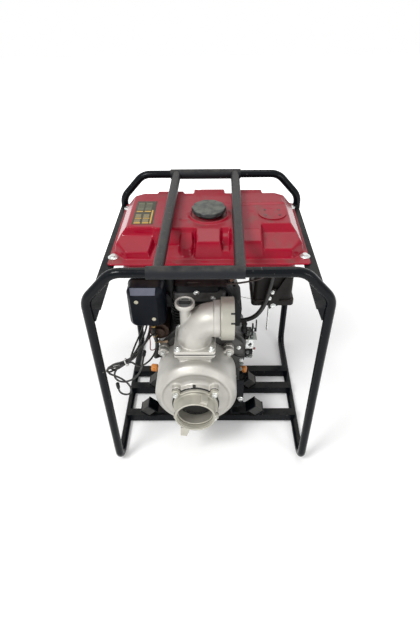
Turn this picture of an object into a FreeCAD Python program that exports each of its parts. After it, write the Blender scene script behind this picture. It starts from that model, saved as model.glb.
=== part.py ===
import FreeCAD, Part
import math
import os
import re
import Sketcher
from FreeCAD import Placement, Rotation, Vector

# Diesel water pump in a tube frame.
# X runs to the right seen from the suction side, Y away from the viewer, Z up.
# The origin is at the middle of the frame's footprint, on the floor.
# All lengths are millimetres and angles are degrees.

SIZES = {
    # Tube frame
    "tube_od": 22, "half_width": 265, "half_depth": 257.5,
    "knee_rise": 25, "grip_rise": 94, "shoulder_inset": 64, "rear_lean": 7,
    "lean_bend": 300, "hoop_bend": 48, "skid_bend": 36, "leg_foot": 60,
    # Carrying bars and grip sleeves
    "bar_od": 25, "bar_left": -103, "bar_right": 67, "bar_drift": 8,
    "sleeve_od": 28, "sleeve_length": 204, "sleeve_front": -127, "sleeve_rear": -113,
    # Side rails that carry the fuel tank
    "tank_clearance": 60.2, "rail_width": 42, "rail_overhang": 3, "rail_drop": 14,
    "rail_sheet": 3,
    # Cross members between the skids
    "member_top": 40, "member_height": 27, "member_width": 27, "member_sheet": 3,
    "member_front": -109, "member_middle": 4, "member_rear": 81,
    # Engine rails and rubber mounts
    "mount_middle": -27, "rail_reach": 115, "channel_width": 26, "channel_sheet": 4,
    "channel_bottom": 60, "channel_top": 96, "channel_front": -132, "channel_back": 32,
    "front_reach": 166, "rear_reach": 152, "rubber_side": 32, "rubber_length": 34,
    "bracket_sheet": 3, "bracket_length": 40,
    "stay_left": 78, "stay_width": 22, "stay_back": -111, "stay_foot": 20, "stay_height": 92,
    # Pump shaft and casing
    "shaft_x": -40, "rail_lap": 15,
    "casing_back": -75, "casing_front": -190, "casing_radius": 116, "casing_round": 30,
    "relief_depth": 3, "relief_inset": 10, "relief_width": 20,
    "plate_thickness": 15, "plate_radius": 110, "ear_x": 94, "ear_rise": 82, "ear_radius": 15,
    "boss_radius": 62, "boss_length": 15, "boss_ear_x": 52, "boss_ear_rise": 49,
    "boss_ear_radius": 12, "gasket": 1.5,
    "flange_thickness": 11, "nozzle_radius": 52, "nozzle_end": -240,
    "suction_bore": 47, "suction_depth": 70,
    "ring_radius": 55.5, "ring_bore": 51, "ring_back": -226, "mouth_face": -257,
    "ring_play": 0.3,
    "lug_width": 21, "lug_height": 11, "lug_length": 24, "lug_angle": 66,
    # Outlet flange, elbow and discharge ring
    "outlet_y": -109, "outlet_side": 112, "outlet_flange": 9, "outlet_rise": 144,
    "outlet_neck": 84, "outlet_ledge": 98, "outlet_bore": 40,
    "elbow_radius": 46, "elbow_bend": 60, "elbow_rise": 82, "collar_radius": 50,
    "collar_start": 12, "discharge_start": 30, "discharge_end": 65, "discharge_radius": 57.5,
    "discharge_bore": 51, "discharge_lip": 12,
    # Priming neck on the elbow
    "priming_x": -63, "priming_radius": 15, "priming_rise": 56, "priming_ring": 26,
    "priming_ring_height": 13, "priming_bore": 21, "plug_recess": 4,
    # Engine
    "case_left": -150, "case_right": 90, "case_front": -60, "case_back": 66,
    "case_rise": 139, "case_bulge": 104, "cover_depth": 13,
    "barrel_left": -108, "barrel_right": 48, "barrel_front": -42, "barrel_back": 58,
    "fin_count": 9, "fin_sheet": 3.2, "fin_pitch": 10.2, "barrel_radius": 44,
    "head_height": 26, "rocker_height": 18, "cowl_sheet": 3, "cowl_gap": 4,
    "fan_depth": 74, "fan_radius": 128, "recoil_depth": 30, "recoil_radius": 96,
    "handle_length": 62, "handle_radius": 9,
    "starter_radius": 28, "starter_x": -146, "starter_drop": 13.4, "starter_front": -44,
    "starter_length": 108, "nose_length": 8,
    "oil_cap_radius": 9, "oil_cap_length": 24, "oil_cap_drop": 47, "oil_cap_y": -30,
    # Air cleaner
    "cleaner_left": -212, "cleaner_right": -117, "cleaner_hang": 55, "cleaner_height": 129,
    "cleaner_face": -112, "cleaner_bevel": 14, "cleaner_rim": -58, "cleaner_back": -8,
    "cleaner_round": 18, "cleaner_step": 5, "clip_left": -184, "clip_width": 34,
    "clip_depth": 14, "clip_height": 12,
    # Muffler
    "muffler_left": 126, "muffler_right": 236, "muffler_front": 12, "muffler_back": 128,
    "muffler_hang": 66, "muffler_height": 132, "muffler_lip": 6, "muffler_lip_height": 15,
    "muffler_round": 12, "strap_sheet": 3, "strap_inset": 2, "strap_narrow": 10, "strap_wide": 18,
    "strap_gap": 14, "drain_x": 176, "drain_y": 40, "drain_radius": 2, "drain_length": 123,
    "exhaust_radius": 12, "exhaust_y": 34,
    # Fuel system and controls
    "block_low": 118, "block_high": 40, "block_width": 20, "block_front": -42,
    "block_length": 46, "plate_low": 104, "plate_high": 4, "plate_half": 12,
    "tab_width": 22, "tab_low": 80, "tab_high": 44,
    "lever_drop": 18, "lever_y": -34, "lever_sheet": 3, "lever_gap": 5, "lever_half": 5,
    "lever_length": 34, "hub_radius": 6, "hub_play": 0.3,
    # Fuel tank
    "tank_margin": 15, "flange_width": 10, "tank_front": -90, "tank_back": 246,
    "flange_sheet": 3, "pad_height": 4, "pad_radius": 11, "tank_corner": 20,
    "plateau_rise": 61, "break_rise": 23, "front_inset": 23, "rear_inset": 28,
    "front_cut": 32, "rear_cut": 45, "steep_draft": 9, "block_draft": 4, "side_draft": 38,
    "left_block": -143, "recess_right": -34, "centre_right": 31, "notch_right": 54,
    "middle_right": 133, "tongue_left": -74, "tongue_right": -37,
    "panel_rise": 4, "panel_left": 60, "panel_right": 205, "panel_front": 104,
    "panel_back": 176, "pan_depth": 42, "pan_draft": 14,
    "cap_x": 0, "cap_y": 50, "cap_radius": 44, "cap_height": 18, "cap_gap": 6,
    "cap_scallops": 10, "neck_radius": 31, "gauge_x": 165, "gauge_y": 55, "gauge_radius": 36.5,
    "bolt_inset": 32,
}

# Places that follow from the sizes
DERIVED = {
    "shaft_height": "channel_top + casing_radius - rail_lap",
    "case_top": "shaft_height + case_rise",
    "head_low": "case_top + fin_count * fin_pitch",
    "rocker_top": "head_low + head_height + rocker_height",
    "exhaust_z": "head_low + head_height / 2",
    "starter_z": "case_top - starter_drop",
    "oil_cap_z": "shaft_height - oil_cap_drop",
    "lever_pivot_z": "case_top - lever_drop",
    "rail_top": "rocker_top + tank_clearance + pan_depth",
    "rail_outer": "half_width + rail_overhang",
    "rail_inner": "rail_outer - rail_width",
    "knee_height": "rail_top + knee_rise",
    "top_height": "rail_top + grip_rise",
    "outlet_face": "shaft_height + outlet_rise",
    "elbow_height": "outlet_face + elbow_rise",
    "priming_top": "elbow_height + priming_rise",
    "cleaner_top": "rail_top - cleaner_hang",
    "cleaner_bottom": "cleaner_top - cleaner_height",
    "muffler_top": "rail_top - muffler_hang",
    "muffler_bottom": "muffler_top - muffler_height",
    "tank_half": "half_width - tank_margin",
    "side_foot": "tank_half - flange_width",
    "front_foot": "tank_front + front_inset",
    "rear_foot": "tank_back - rear_inset",
    "flange_low": "rail_top + pad_height",
    "flange_top": "flange_low + flange_sheet",
    "pan_top": "flange_low - flange_sheet + 1",
    "pan_low": "pan_top - pan_depth",
    "plateau": "flange_top + plateau_rise",
    "break_inset": "break_rise * tan(steep_draft)",
    "stay_low": "channel_top",
}

doc = FreeCAD.newDocument("diesel_water_pump")
dims = doc.addObject("Spreadsheet::Sheet", "dims")
for row, (alias, number) in enumerate(SIZES.items(), start=1):
    dims.set(f"A{row}", alias)
    dims.set(f"B{row}", str(number))
    dims.setAlias(f"B{row}", alias)
doc.recompute()

NODES = {}
AXES = {"X": Vector(1, 0, 0), "Y": Vector(0, 1, 0), "Z": Vector(0, 0, 1)}


def spelled(expression):
    """The expression with each derived name written out in the sheet's names."""
    short = ""
    full = str(expression)
    while short != full:
        short = full
        full = re.sub(r"[a-z][a-z_]+",
                      lambda word: f"({DERIVED[word[0]]})" if word[0] in DERIVED else word[0],
                      short)
    return full


def value(expression):
    """The number that an expression of the sheet's names has now."""
    return float(dims.evalExpression(spelled(expression)))


def linked(expression):
    """The expression with each name of the sheet written as dims.name."""
    return re.sub(r"[a-z][a-z_]+", lambda word: f"dims.{word[0]}" if word[0] in SIZES else word[0],
                  spelled(expression))


def bind(item, **expressions):
    for name, expression in expressions.items():
        item.setExpression(name, linked(expression))


def place(item, x="0", y="0", z="0"):
    for letter, expression in zip("xyz", (x, y, z)):
        item.setExpression(f"Placement.Base.{letter}", linked(expression))


def keep(item, name):
    """Names a finished piece, so that it is written out."""
    item.Label = name
    NODES[name] = item
    return item


# Sketches and features of a body

def new_body(name, x="0", y="0", z="0"):
    body = doc.addObject("PartDesign::Body", name)
    place(body, x, y, z)
    return body


def sketch_on(body, plane, at="0"):
    """An empty sketch on an origin plane, moved along the plane's world axis to at."""
    sketch = body.newObject("Sketcher::SketchObject", "sketch")
    roles = {feature.Role: feature for feature in body.Origin.OriginFeatures}
    sketch.AttachmentSupport = [(roles[plane + "_Plane"], "")]
    sketch.MapMode = "FlatFace"
    sign = "-" if plane == "XZ" else ""
    sketch.setExpression("AttachmentOffset.Base.z", linked(f"{sign}({at})"))
    return sketch


def pin_point(sketch, geometry, point, x, y):
    """Fixes a point of a sketch at x and y, both bound to the sheet."""
    for kind, expression in (("DistanceX", x), ("DistanceY", y)):
        rule = Sketcher.Constraint(kind, -1, 1, geometry, point, value(expression))
        index = sketch.addConstraint(rule)
        sketch.setExpression(f"Constraints[{index}]", linked(expression))


def circle(sketch, x, y, radius):
    shape = Part.Circle(Vector(value(x), value(y), 0), Vector(0, 0, 1), value(radius))
    geometry = sketch.addGeometry(shape)
    pin_point(sketch, geometry, 3, x, y)
    index = sketch.addConstraint(Sketcher.Constraint("Radius", geometry, value(radius)))
    sketch.setExpression(f"Constraints[{index}]", linked(radius))


def outline(sketch, corners, closed=True):
    """Straight runs between corners (x, y) or (x, y, radius), with a tangent arc at a radius."""
    spots = [Vector(value(corner[0]), value(corner[1]), 0) for corner in corners]
    count = len(corners)
    runs = count if closed else count - 1
    rounded = [len(corner) > 2 and (closed or 0 < i < count - 1)
               for i, corner in enumerate(corners)]
    arrive = list(spots)
    leave = list(spots)
    arcs = {}
    for i in range(count):
        if not rounded[i]:
            continue
        back = (spots[i - 1] - spots[i]).normalize()
        ahead = (spots[(i + 1) % count] - spots[i]).normalize()
        half = back.getAngle(ahead) / 2
        radius = value(corners[i][2])
        arrive[i] = spots[i] + back * (radius / math.tan(half))
        leave[i] = spots[i] + ahead * (radius / math.tan(half))
        middle = spots[i] + (back + ahead).normalize() * (radius / math.sin(half))
        left_turn = ahead.cross(back).z > 0
        first, last = (arrive[i], leave[i]) if left_turn else (leave[i], arrive[i])
        start = math.atan2(first.y - middle.y, first.x - middle.x)
        end = math.atan2(last.y - middle.y, last.x - middle.x)
        if end < start:
            end += 2 * math.pi
        ring = Part.Circle(middle, Vector(0, 0, 1), radius)
        arcs[i] = (sketch.addGeometry(Part.ArcOfCircle(ring, start, end)), left_turn)
    lines = [sketch.addGeometry(Part.LineSegment(leave[i], arrive[(i + 1) % count]))
             for i in range(runs)]
    for i, corner in enumerate(corners):
        before = lines[i - 1] if (closed or i > 0) else None
        after = lines[i] if i < runs else None
        if rounded[i]:
            arc, left_turn = arcs[i]
            tip = sketch.addGeometry(Part.Point(spots[i]), True)
            pin_point(sketch, tip, 1, corner[0], corner[1])
            sketch.addConstraint(Sketcher.Constraint("PointOnObject", tip, 1, before))
            sketch.addConstraint(Sketcher.Constraint("PointOnObject", tip, 1, after))
            enters, exits = (1, 2) if left_turn else (2, 1)
            sketch.addConstraint(Sketcher.Constraint("Tangent", before, 2, arc, enters))
            sketch.addConstraint(Sketcher.Constraint("Tangent", arc, exits, after, 1))
            rule = Sketcher.Constraint("Radius", arc, value(corner[2]))
            index = sketch.addConstraint(rule)
            sketch.setExpression(f"Constraints[{index}]", linked(corner[2]))
        elif after is None:
            pin_point(sketch, before, 2, corner[0], corner[1])
        else:
            pin_point(sketch, after, 1, corner[0], corner[1])
            if before is not None:
                sketch.addConstraint(Sketcher.Constraint("Coincident", before, 2, after, 1))
    return sketch


def rectangle(sketch, left, right, low, high, radius=None):
    spots = [(left, low), (right, low), (right, high), (left, high)]
    if radius is not None:
        spots = [spot + (radius,) for spot in spots]
    return outline(sketch, spots)


def extrude(body, kind, sketch, length, forward, taper=None):
    """A pad or pocket from a sketch; forward means towards the world axis's positive end."""
    feature = body.newObject("PartDesign::" + kind, kind.lower())
    feature.Profile = (sketch, [""])
    role = sketch.AttachmentSupport[0][0].Role
    normal_is_forward = role != "XZ_Plane"
    along = forward == normal_is_forward
    feature.Reversed = (not along) if kind == "Pad" else along
    bind(feature, Length=length)
    if taper is not None:
        bind(feature, TaperAngle=taper)
    body.Tip = feature
    return feature


def pad(body, plane, start, end, draw, taper=None):
    """Pads what draw makes, from start to end along the plane's world axis."""
    sketch = sketch_on(body, plane, start)
    draw(sketch)
    forward = value(end) > value(start)
    span = f"({end}) - ({start})" if forward else f"({start}) - ({end})"
    return extrude(body, "Pad", sketch, span, forward, taper)


def pocket(body, plane, start, end, draw):
    """Cuts what draw makes, from start to end along the plane's world axis."""
    sketch = sketch_on(body, plane, start)
    draw(sketch)
    forward = value(end) > value(start)
    span = f"({end}) - ({start})" if forward else f"({start}) - ({end})"
    return extrude(body, "Pocket", sketch, span, forward)


def revolve(body, plane, axis, draw, kind="Revolution"):
    sketch = sketch_on(body, plane)
    draw(sketch)
    feature = body.newObject("PartDesign::" + kind, kind.lower())
    feature.Profile = (sketch, [""])
    feature.ReferenceAxis = (sketch, [axis])
    feature.Angle = 360
    body.Tip = feature
    return feature


def sweep(body, profile, spine, kind="AdditivePipe"):
    feature = body.newObject("PartDesign::" + kind, "sweep")
    feature.Profile = (profile, [""])
    feature.Spine = (spine, [f"Edge{i + 1}" for i in range(len(drawn_edges(spine)))])
    body.Tip = feature
    return feature


def drawn_edges(sketch):
    return [g for i, g in enumerate(sketch.Geometry)
            if not sketch.getConstruction(i) and not isinstance(g, Part.Point)]


def round_edges(body, radius, chosen):
    """Fillets the edges for which chosen(edge) is true."""
    doc.recompute()
    base = body.Tip
    names = [f"Edge{i + 1}" for i, edge in enumerate(base.Shape.Edges) if chosen(edge)]
    fillet = body.newObject("PartDesign::Fillet", "fillet")
    fillet.Base = (base, names)
    bind(fillet, Radius=radius)
    body.Tip = fillet
    return fillet


# Primitives and booleans

def box(name, x, y, z):
    """A box between the low and high values of x, y and z."""
    item = doc.addObject("Part::Box", name)
    bind(item, Length=f"({x[1]}) - ({x[0]})", Width=f"({y[1]}) - ({y[0]})",
         Height=f"({z[1]}) - ({z[0]})")
    place(item, x[0], y[0], z[0])
    return item


def rod(name, axis, radius, length, x, y, z):
    """A cylinder along an axis, from its base point in the positive direction."""
    item = doc.addObject("Part::Cylinder", name)
    bind(item, Radius=radius, Height=length)
    item.Placement = Placement(Vector(), Rotation(AXES["Z"], AXES[axis]))
    place(item, x, y, z)
    return item


def cut(name, base, tool):
    item = doc.addObject("Part::Cut", name)
    item.Base = base
    item.Tool = tool
    return item


def fuse(name, *shapes):
    item = doc.addObject("Part::MultiFuse", name)
    item.Shapes = list(shapes)
    return item


def group(name, *shapes):
    """Like pieces that don't touch, as one piece of the list."""
    item = doc.addObject("Part::Compound", name)
    item.Links = list(shapes)
    return item


# Tube frame

def make_hoop(name, y, lean="0"):
    """One end of the frame: two legs, two sloping shoulders and the top tube in one bent tube."""
    body = new_body(name)
    spine = sketch_on(body, "XZ", y)
    foot = [("-half_width", "leg_foot")]
    if value(lean) != 0:
        foot.append(("-half_width", "leg_foot + skid_bend", "lean_bend"))
    outline(spine, foot + [
        (f"-half_width + {lean}", "knee_height", "hoop_bend"),
        (f"-half_width + {lean} + shoulder_inset", "top_height", "hoop_bend"),
        ("half_width - shoulder_inset", "top_height", "hoop_bend"),
        ("half_width", "knee_height", "hoop_bend"),
        ("half_width", "leg_foot")], closed=False)
    profile = sketch_on(body, "XY", "leg_foot")
    circle(profile, "-half_width", y, "tube_od / 2")
    doc.recompute()
    sweep(body, profile, spine)
    return keep(body, name)


def make_skid(name, x):
    """A bottom tube with its two ends bent up to the legs."""
    body = new_body(name)
    spine = sketch_on(body, "YZ", x)
    outline(spine, [
        ("-half_depth", "leg_foot"),
        ("-half_depth", "tube_od / 2", "skid_bend"),
        ("half_depth", "tube_od / 2", "skid_bend"),
        ("half_depth", "leg_foot")], closed=False)
    profile = sketch_on(body, "XY", "leg_foot")
    circle(profile, x, "-half_depth", "tube_od / 2")
    doc.recompute()
    sweep(body, profile, spine)
    return keep(body, name)


def make_sleeve(name, left, y):
    """A grip tube round the top tube of a hoop."""
    outer = rod(name + "_outer", "X", "sleeve_od / 2", "sleeve_length", left, y, "top_height")
    inner = rod(name + "_inner", "X", "tube_od / 2", "sleeve_length", left, y, "top_height")
    return keep(cut(name, outer, inner), name)


def make_carry_bar(name, x):
    """A lifting bar over the tank, a little askew, coped to the two grip sleeves."""
    body = new_body(name + "_bar")
    rear_x = f"{x} + bar_drift"
    spine = sketch_on(body, "XY", "top_height")
    outline(spine, [(x, "-half_depth"), (rear_x, "half_depth")], closed=False)
    profile = sketch_on(body, "XZ", "-half_depth")
    circle(profile, x, "top_height", "bar_od / 2")
    doc.recompute()
    sweep(body, profile, spine)
    ends = [rod(f"{name}_cope_{side}", "X", "sleeve_od / 2", "2 * tube_od", f"{end} - tube_od", y,
                "top_height") for side, end, y in (("front", x, "-half_depth"),
                                                   ("rear", rear_x, "half_depth"))]
    return keep(cut(name, body, fuse(name + "_copes", *ends)), name)


def make_side_rail(name, side):
    """An angle bar between a front and a rear leg, which carries one side of the tank."""
    sign = "-" if side < 0 else ""
    body = new_body(name + "_bar")

    def section(sketch):
        outline(sketch, [
            (f"{sign}rail_inner", "rail_top"),
            (f"{sign}rail_outer", "rail_top"),
            (f"{sign}rail_outer", "rail_top - rail_drop"),
            (f"{sign}(rail_outer - rail_sheet)", "rail_top - rail_drop"),
            (f"{sign}(rail_outer - rail_sheet)", "rail_top - rail_sheet"),
            (f"{sign}rail_inner", "rail_top - rail_sheet")])

    pad(body, "XZ", "-half_depth", "half_depth", section)
    coped = cut(name + "_front_cope", body, NODES["front_hoop"])
    return keep(cut(name, coped, NODES["rear_hoop"]), name)


def make_cross_member(name, y):
    """A channel, open below, across the two skids and coped to them."""
    half = "member_width / 2"
    low = "member_top - member_height"
    outer = box(name + "_outer", ("-half_width", "half_width"), (f"{y} - {half}", f"{y} + {half}"),
                (low, "member_top"))
    inner = box(name + "_inner", ("-half_width", "half_width"),
                (f"{y} - {half} + member_sheet", f"{y} + {half} - member_sheet"),
                (low, "member_top - member_sheet"))
    skids = [rod(f"{name}_skid_{side}", "Y", "tube_od / 2", "3 * member_width", x,
                 f"{y} - 1.5 * member_width", "tube_od / 2")
             for side, x in (("left", "-half_width"), ("right", "half_width"))]
    return keep(cut(name, outer, fuse(name + "_space", inner, *skids)), name)


def make_frame():
    make_hoop("front_hoop", "-half_depth")
    make_hoop("rear_hoop", "half_depth", "rear_lean")
    make_skid("skid_left", "-half_width")
    make_skid("skid_right", "half_width")
    make_sleeve("grip_sleeve_front", "sleeve_front", "-half_depth")
    make_sleeve("grip_sleeve_rear", "sleeve_rear", "half_depth")
    make_carry_bar("carry_bar_left", "bar_left")
    make_carry_bar("carry_bar_right", "bar_right")
    make_side_rail("side_rail_left", -1)
    make_side_rail("side_rail_right", 1)
    make_cross_member("cross_member_front", "member_front")
    make_cross_member("cross_member_middle", "member_middle")
    make_cross_member("cross_member_rear", "member_rear")


# Engine rails and rubber mounts

MOUNT_PLACES = [(side, y, reach) for side in (-1, 1)
                for y, reach in (("member_front", "front_reach"), ("member_middle", "rear_reach"))]


def mirrored(side, offset):
    """An X place that far from the middle of the engine mounts, on one side."""
    return f"mount_middle {'-' if side < 0 else '+'} ({offset})"


def make_engine_rail(name, side):
    """A channel under the engine, open to the outside."""
    near = "rail_reach - channel_width"
    ends = sorted([mirrored(side, near), mirrored(side, "rail_reach")], key=value)
    web = mirrored(side, f"{near} + channel_sheet")
    hollow = sorted([web, mirrored(side, "rail_reach")], key=value)
    outer = box(name + "_outer", ends, ("channel_front", "channel_back"),
                ("channel_bottom", "channel_top"))
    inner = box(name + "_inner", hollow, ("channel_front", "channel_back"),
                ("channel_bottom + channel_sheet", "channel_top - channel_sheet"))
    return keep(cut(name, outer, inner), name)


# Half the diagonal of a rubber block, which stands on its edge
DIAGONAL = "(rubber_side * 0.70711)"
BLOCK_LOW = "(member_top + bracket_sheet)"
BLOCK_MIDDLE = f"({BLOCK_LOW} + {DIAGONAL})"
SLANT = "(bracket_sheet * 1.41421)"


def make_rubber_block(side, y, reach):
    body = new_body("rubber_block")

    def diamond(sketch):
        outline(sketch, [
            (mirrored(side, f"{reach} - {DIAGONAL}"), BLOCK_MIDDLE, "3"),
            (mirrored(side, reach), BLOCK_LOW, "3"),
            (mirrored(side, f"{reach} + {DIAGONAL}"), BLOCK_MIDDLE, "3"),
            (mirrored(side, reach), f"{BLOCK_MIDDLE} + {DIAGONAL}", "3")])

    pad(body, "XZ", f"{y} - rubber_length / 2", f"{y} + rubber_length / 2", diamond)
    return body


def make_lower_bracket(side, y, reach):
    """A bent plate on a cross member; its slope carries the rubber block from outside."""
    body = new_body("lower_bracket")
    flat_end = f"{reach} - {DIAGONAL}"

    def bent_plate(sketch):
        outline(sketch, [
            (mirrored(side, flat_end), "member_top"),
            (mirrored(side, f"{reach} - bracket_sheet + {SLANT}"), "member_top"),
            (mirrored(side, f"{reach} + {DIAGONAL} + {SLANT} / 2"), f"{BLOCK_MIDDLE} - {SLANT} / 2"),
            (mirrored(side, f"{reach} + {DIAGONAL}"), BLOCK_MIDDLE),
            (mirrored(side, reach), BLOCK_LOW),
            (mirrored(side, flat_end), BLOCK_LOW)])

    pad(body, "XZ", f"{y} - bracket_length / 2", f"{y} + bracket_length / 2", bent_plate)
    return body


def make_upper_bracket(side, y, reach):
    """A bent plate from an engine rail, which leans on the rubber block from inside."""
    body = new_body("upper_bracket")
    foot = f"{reach} - {DIAGONAL} - ({BLOCK_MIDDLE} - channel_bottom)"

    def bent_plate(sketch):
        outline(sketch, [
            (mirrored(side, "rail_reach"), "channel_bottom"),
            (mirrored(side, foot), "channel_bottom"),
            (mirrored(side, reach), f"{BLOCK_MIDDLE} + {DIAGONAL}"),
            (mirrored(side, f"{reach} - {SLANT} / 2"), f"{BLOCK_MIDDLE} + {DIAGONAL} + {SLANT} / 2"),
            (mirrored(side, f"{foot} - {SLANT} + bracket_sheet"), "channel_bottom + bracket_sheet"),
            (mirrored(side, "rail_reach"), "channel_bottom + bracket_sheet")])

    pad(body, "XZ", f"{y} - bracket_length / 2", f"{y} + bracket_length / 2", bent_plate)
    return body


def make_stay():
    """A bent plate that stands on the right engine rail beside the pump drum."""
    right = "stay_left + stay_width"
    front = "stay_back - bracket_sheet"
    foot = box("stay_foot_plate", ("mount_middle + rail_reach - channel_width + 2", right),
               ("stay_back - stay_foot", "stay_back"), ("stay_low", "stay_low + bracket_sheet"))
    upright = box("stay_upright", ("stay_left", right), (front, "stay_back"),
                  ("stay_low", "stay_low + stay_height"))
    return fuse("pump_stay", foot, upright)


def make_mounts():
    make_engine_rail("engine_rail_left", -1)
    make_engine_rail("engine_rail_right", 1)
    rubber = [make_rubber_block(*spot) for spot in MOUNT_PLACES]
    keep(group("rubber_mounts", *rubber), "rubber_mounts")
    lower = [make_lower_bracket(*spot) for spot in MOUNT_PLACES]
    keep(group("mount_lower_brackets", *lower), "mount_lower_brackets")
    upper = [make_upper_bracket(*spot) for spot in MOUNT_PLACES]
    keep(group("mount_upper_brackets", *upper, make_stay()), "mount_upper_brackets")


# Pump

def ears(body, plane_start, plane_end, x, rise, radius):
    """Four round ears at the corners x, rise from the body's axis."""
    for side in ("", "-"):
        for level in ("", "-"):
            pad(body, "XZ", plane_start, plane_end,
                lambda sketch, a=side, b=level: circle(sketch, f"{a}{x}", f"{b}{rise}", radius))


def make_back_plate():
    """The plate between the pump casing and the engine, with four ears."""
    body = new_body("pump_back_plate", "shaft_x", "0", "shaft_height")
    back = "casing_back + plate_thickness"
    pad(body, "XZ", "casing_back", back, lambda sketch: circle(sketch, "0", "0", "plate_radius"))
    pad(body, "XZ", "casing_back", back, lambda sketch: rectangle(
        sketch, "-ear_x", "ear_x", "-ear_rise", "ear_rise", "ear_radius / 2"))
    ears(body, "casing_back", back, "ear_x", "ear_rise", "ear_radius")
    return keep(body, "pump_back_plate")


def make_casing():
    """The cast volute casing: drum, front boss with ears, outlet neck and square flange."""
    body = new_body("pump_casing", "shaft_x", "0", "shaft_height")
    face = "casing_front - boss_length"
    revolve(body, "YZ", "H_Axis", lambda sketch: outline(sketch, [
        ("casing_back", "0"),
        (face, "0"),
        (face, "boss_radius"),
        ("casing_front", "boss_radius + 3"),
        ("casing_front", "boss_radius + relief_inset - relief_depth"),
        ("casing_front + relief_depth", "boss_radius + relief_inset"),
        ("casing_front + relief_depth", "boss_radius + relief_inset + relief_width"),
        ("casing_front", "boss_radius + relief_inset + relief_width + relief_depth"),
        ("casing_front", "casing_radius - casing_round / 2"),
        ("casing_front + casing_round / 2", "casing_radius", "casing_round / 2"),
        ("casing_back", "casing_radius")]))
    ears(body, "casing_back", "casing_back - plate_thickness", "ear_x", "ear_rise", "ear_radius")
    ears(body, "casing_front", face, "boss_ear_x", "boss_ear_rise", "boss_ear_radius")
    rise = "outlet_face - shaft_height"
    ledge = f"{rise} - outlet_flange - 14"
    pad(body, "XY", "casing_radius / 2", rise, lambda sketch: rectangle(
        sketch, "-outlet_neck / 2", "outlet_neck / 2", "outlet_y - outlet_neck / 2",
        "casing_back"))
    pad(body, "XY", ledge, rise, lambda sketch: rectangle(
        sketch, "-outlet_ledge / 2", "outlet_ledge / 2", "outlet_y - outlet_ledge / 2",
        "outlet_y + outlet_ledge / 2", "8"))
    pad(body, "XY", f"{rise} - outlet_flange", rise, lambda sketch: rectangle(
        sketch, "-outlet_side / 2", "outlet_side / 2", "outlet_y - outlet_side / 2",
        "outlet_y + outlet_side / 2", "7"))
    pocket(body, "XZ", face, f"{face} + suction_depth",
           lambda sketch: circle(sketch, "0", "0", "suction_bore"))
    pocket(body, "XY", rise, "casing_radius / 2",
           lambda sketch: circle(sketch, "0", "outlet_y", "outlet_bore"))
    return keep(body, "pump_casing")


def suction_outline(body, start, end):
    """The round flange with four ears that the casing boss, gasket and nozzle share."""
    pad(body, "XZ", start, end, lambda sketch: circle(sketch, "0", "0", "boss_radius"))
    ears(body, start, end, "boss_ear_x", "boss_ear_rise", "boss_ear_radius")


def make_suction_side():
    face = "casing_front - boss_length"
    flange_back = f"{face} - gasket"
    flange_face = f"{flange_back} - flange_thickness"

    seal = new_body("suction_gasket", "shaft_x", "0", "shaft_height")
    suction_outline(seal, face, flange_back)
    pocket(seal, "XZ", flange_back, face, lambda sketch: circle(sketch, "0", "0", "suction_bore"))
    keep(seal, "suction_gasket")

    nozzle = new_body("suction_nozzle", "shaft_x", "0", "shaft_height")
    suction_outline(nozzle, flange_back, flange_face)
    pad(nozzle, "XZ", flange_face, "nozzle_end",
        lambda sketch: circle(sketch, "0", "0", "nozzle_radius"))
    pad(nozzle, "XZ", flange_face, "ring_back",
        lambda sketch: circle(sketch, "0", "0", "ring_radius - 1.5"))
    pocket(nozzle, "XZ", "nozzle_end", flange_back,
           lambda sketch: circle(sketch, "0", "0", "suction_bore"))
    keep(nozzle, "suction_nozzle")

    ring = new_body("suction_lock_ring", "shaft_x", "0", "shaft_height")
    pad(ring, "XZ", "ring_back", "mouth_face",
        lambda sketch: circle(sketch, "0", "0", "ring_radius"))
    for turn in ("lug_angle", "lug_angle + 180"):
        add_lug(ring, turn)
    pocket(ring, "XZ", "mouth_face", "nozzle_end",
           lambda sketch: circle(sketch, "0", "0", "ring_bore"))
    pocket(ring, "XZ", "nozzle_end", "ring_back",
           lambda sketch: circle(sketch, "0", "0", "nozzle_radius + ring_play"))
    keep(ring, "suction_lock_ring")


def add_lug(body, turn):
    """A square lug on the lock ring, at an angle round the shaft."""
    reach = "ring_radius + lug_height"
    inside = "ring_radius - 2"
    half = "lug_width / 2"

    def across(along, off, function, other, sign):
        return f"({along}) * {function}({turn}) {sign} ({off}) * {other}({turn})"

    spots = []
    for along, off in ((inside, f"-{half}"), (reach, f"-{half} * 0.8"), (reach, f"{half} * 0.8"),
                       (inside, half)):
        spots.append((across(along, off, "cos", "sin", "-"), across(along, off, "sin", "cos", "+")))
    pad(body, "XZ", "mouth_face + 6", "mouth_face + 6 + lug_length",
        lambda sketch: outline(sketch, spots))


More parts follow.
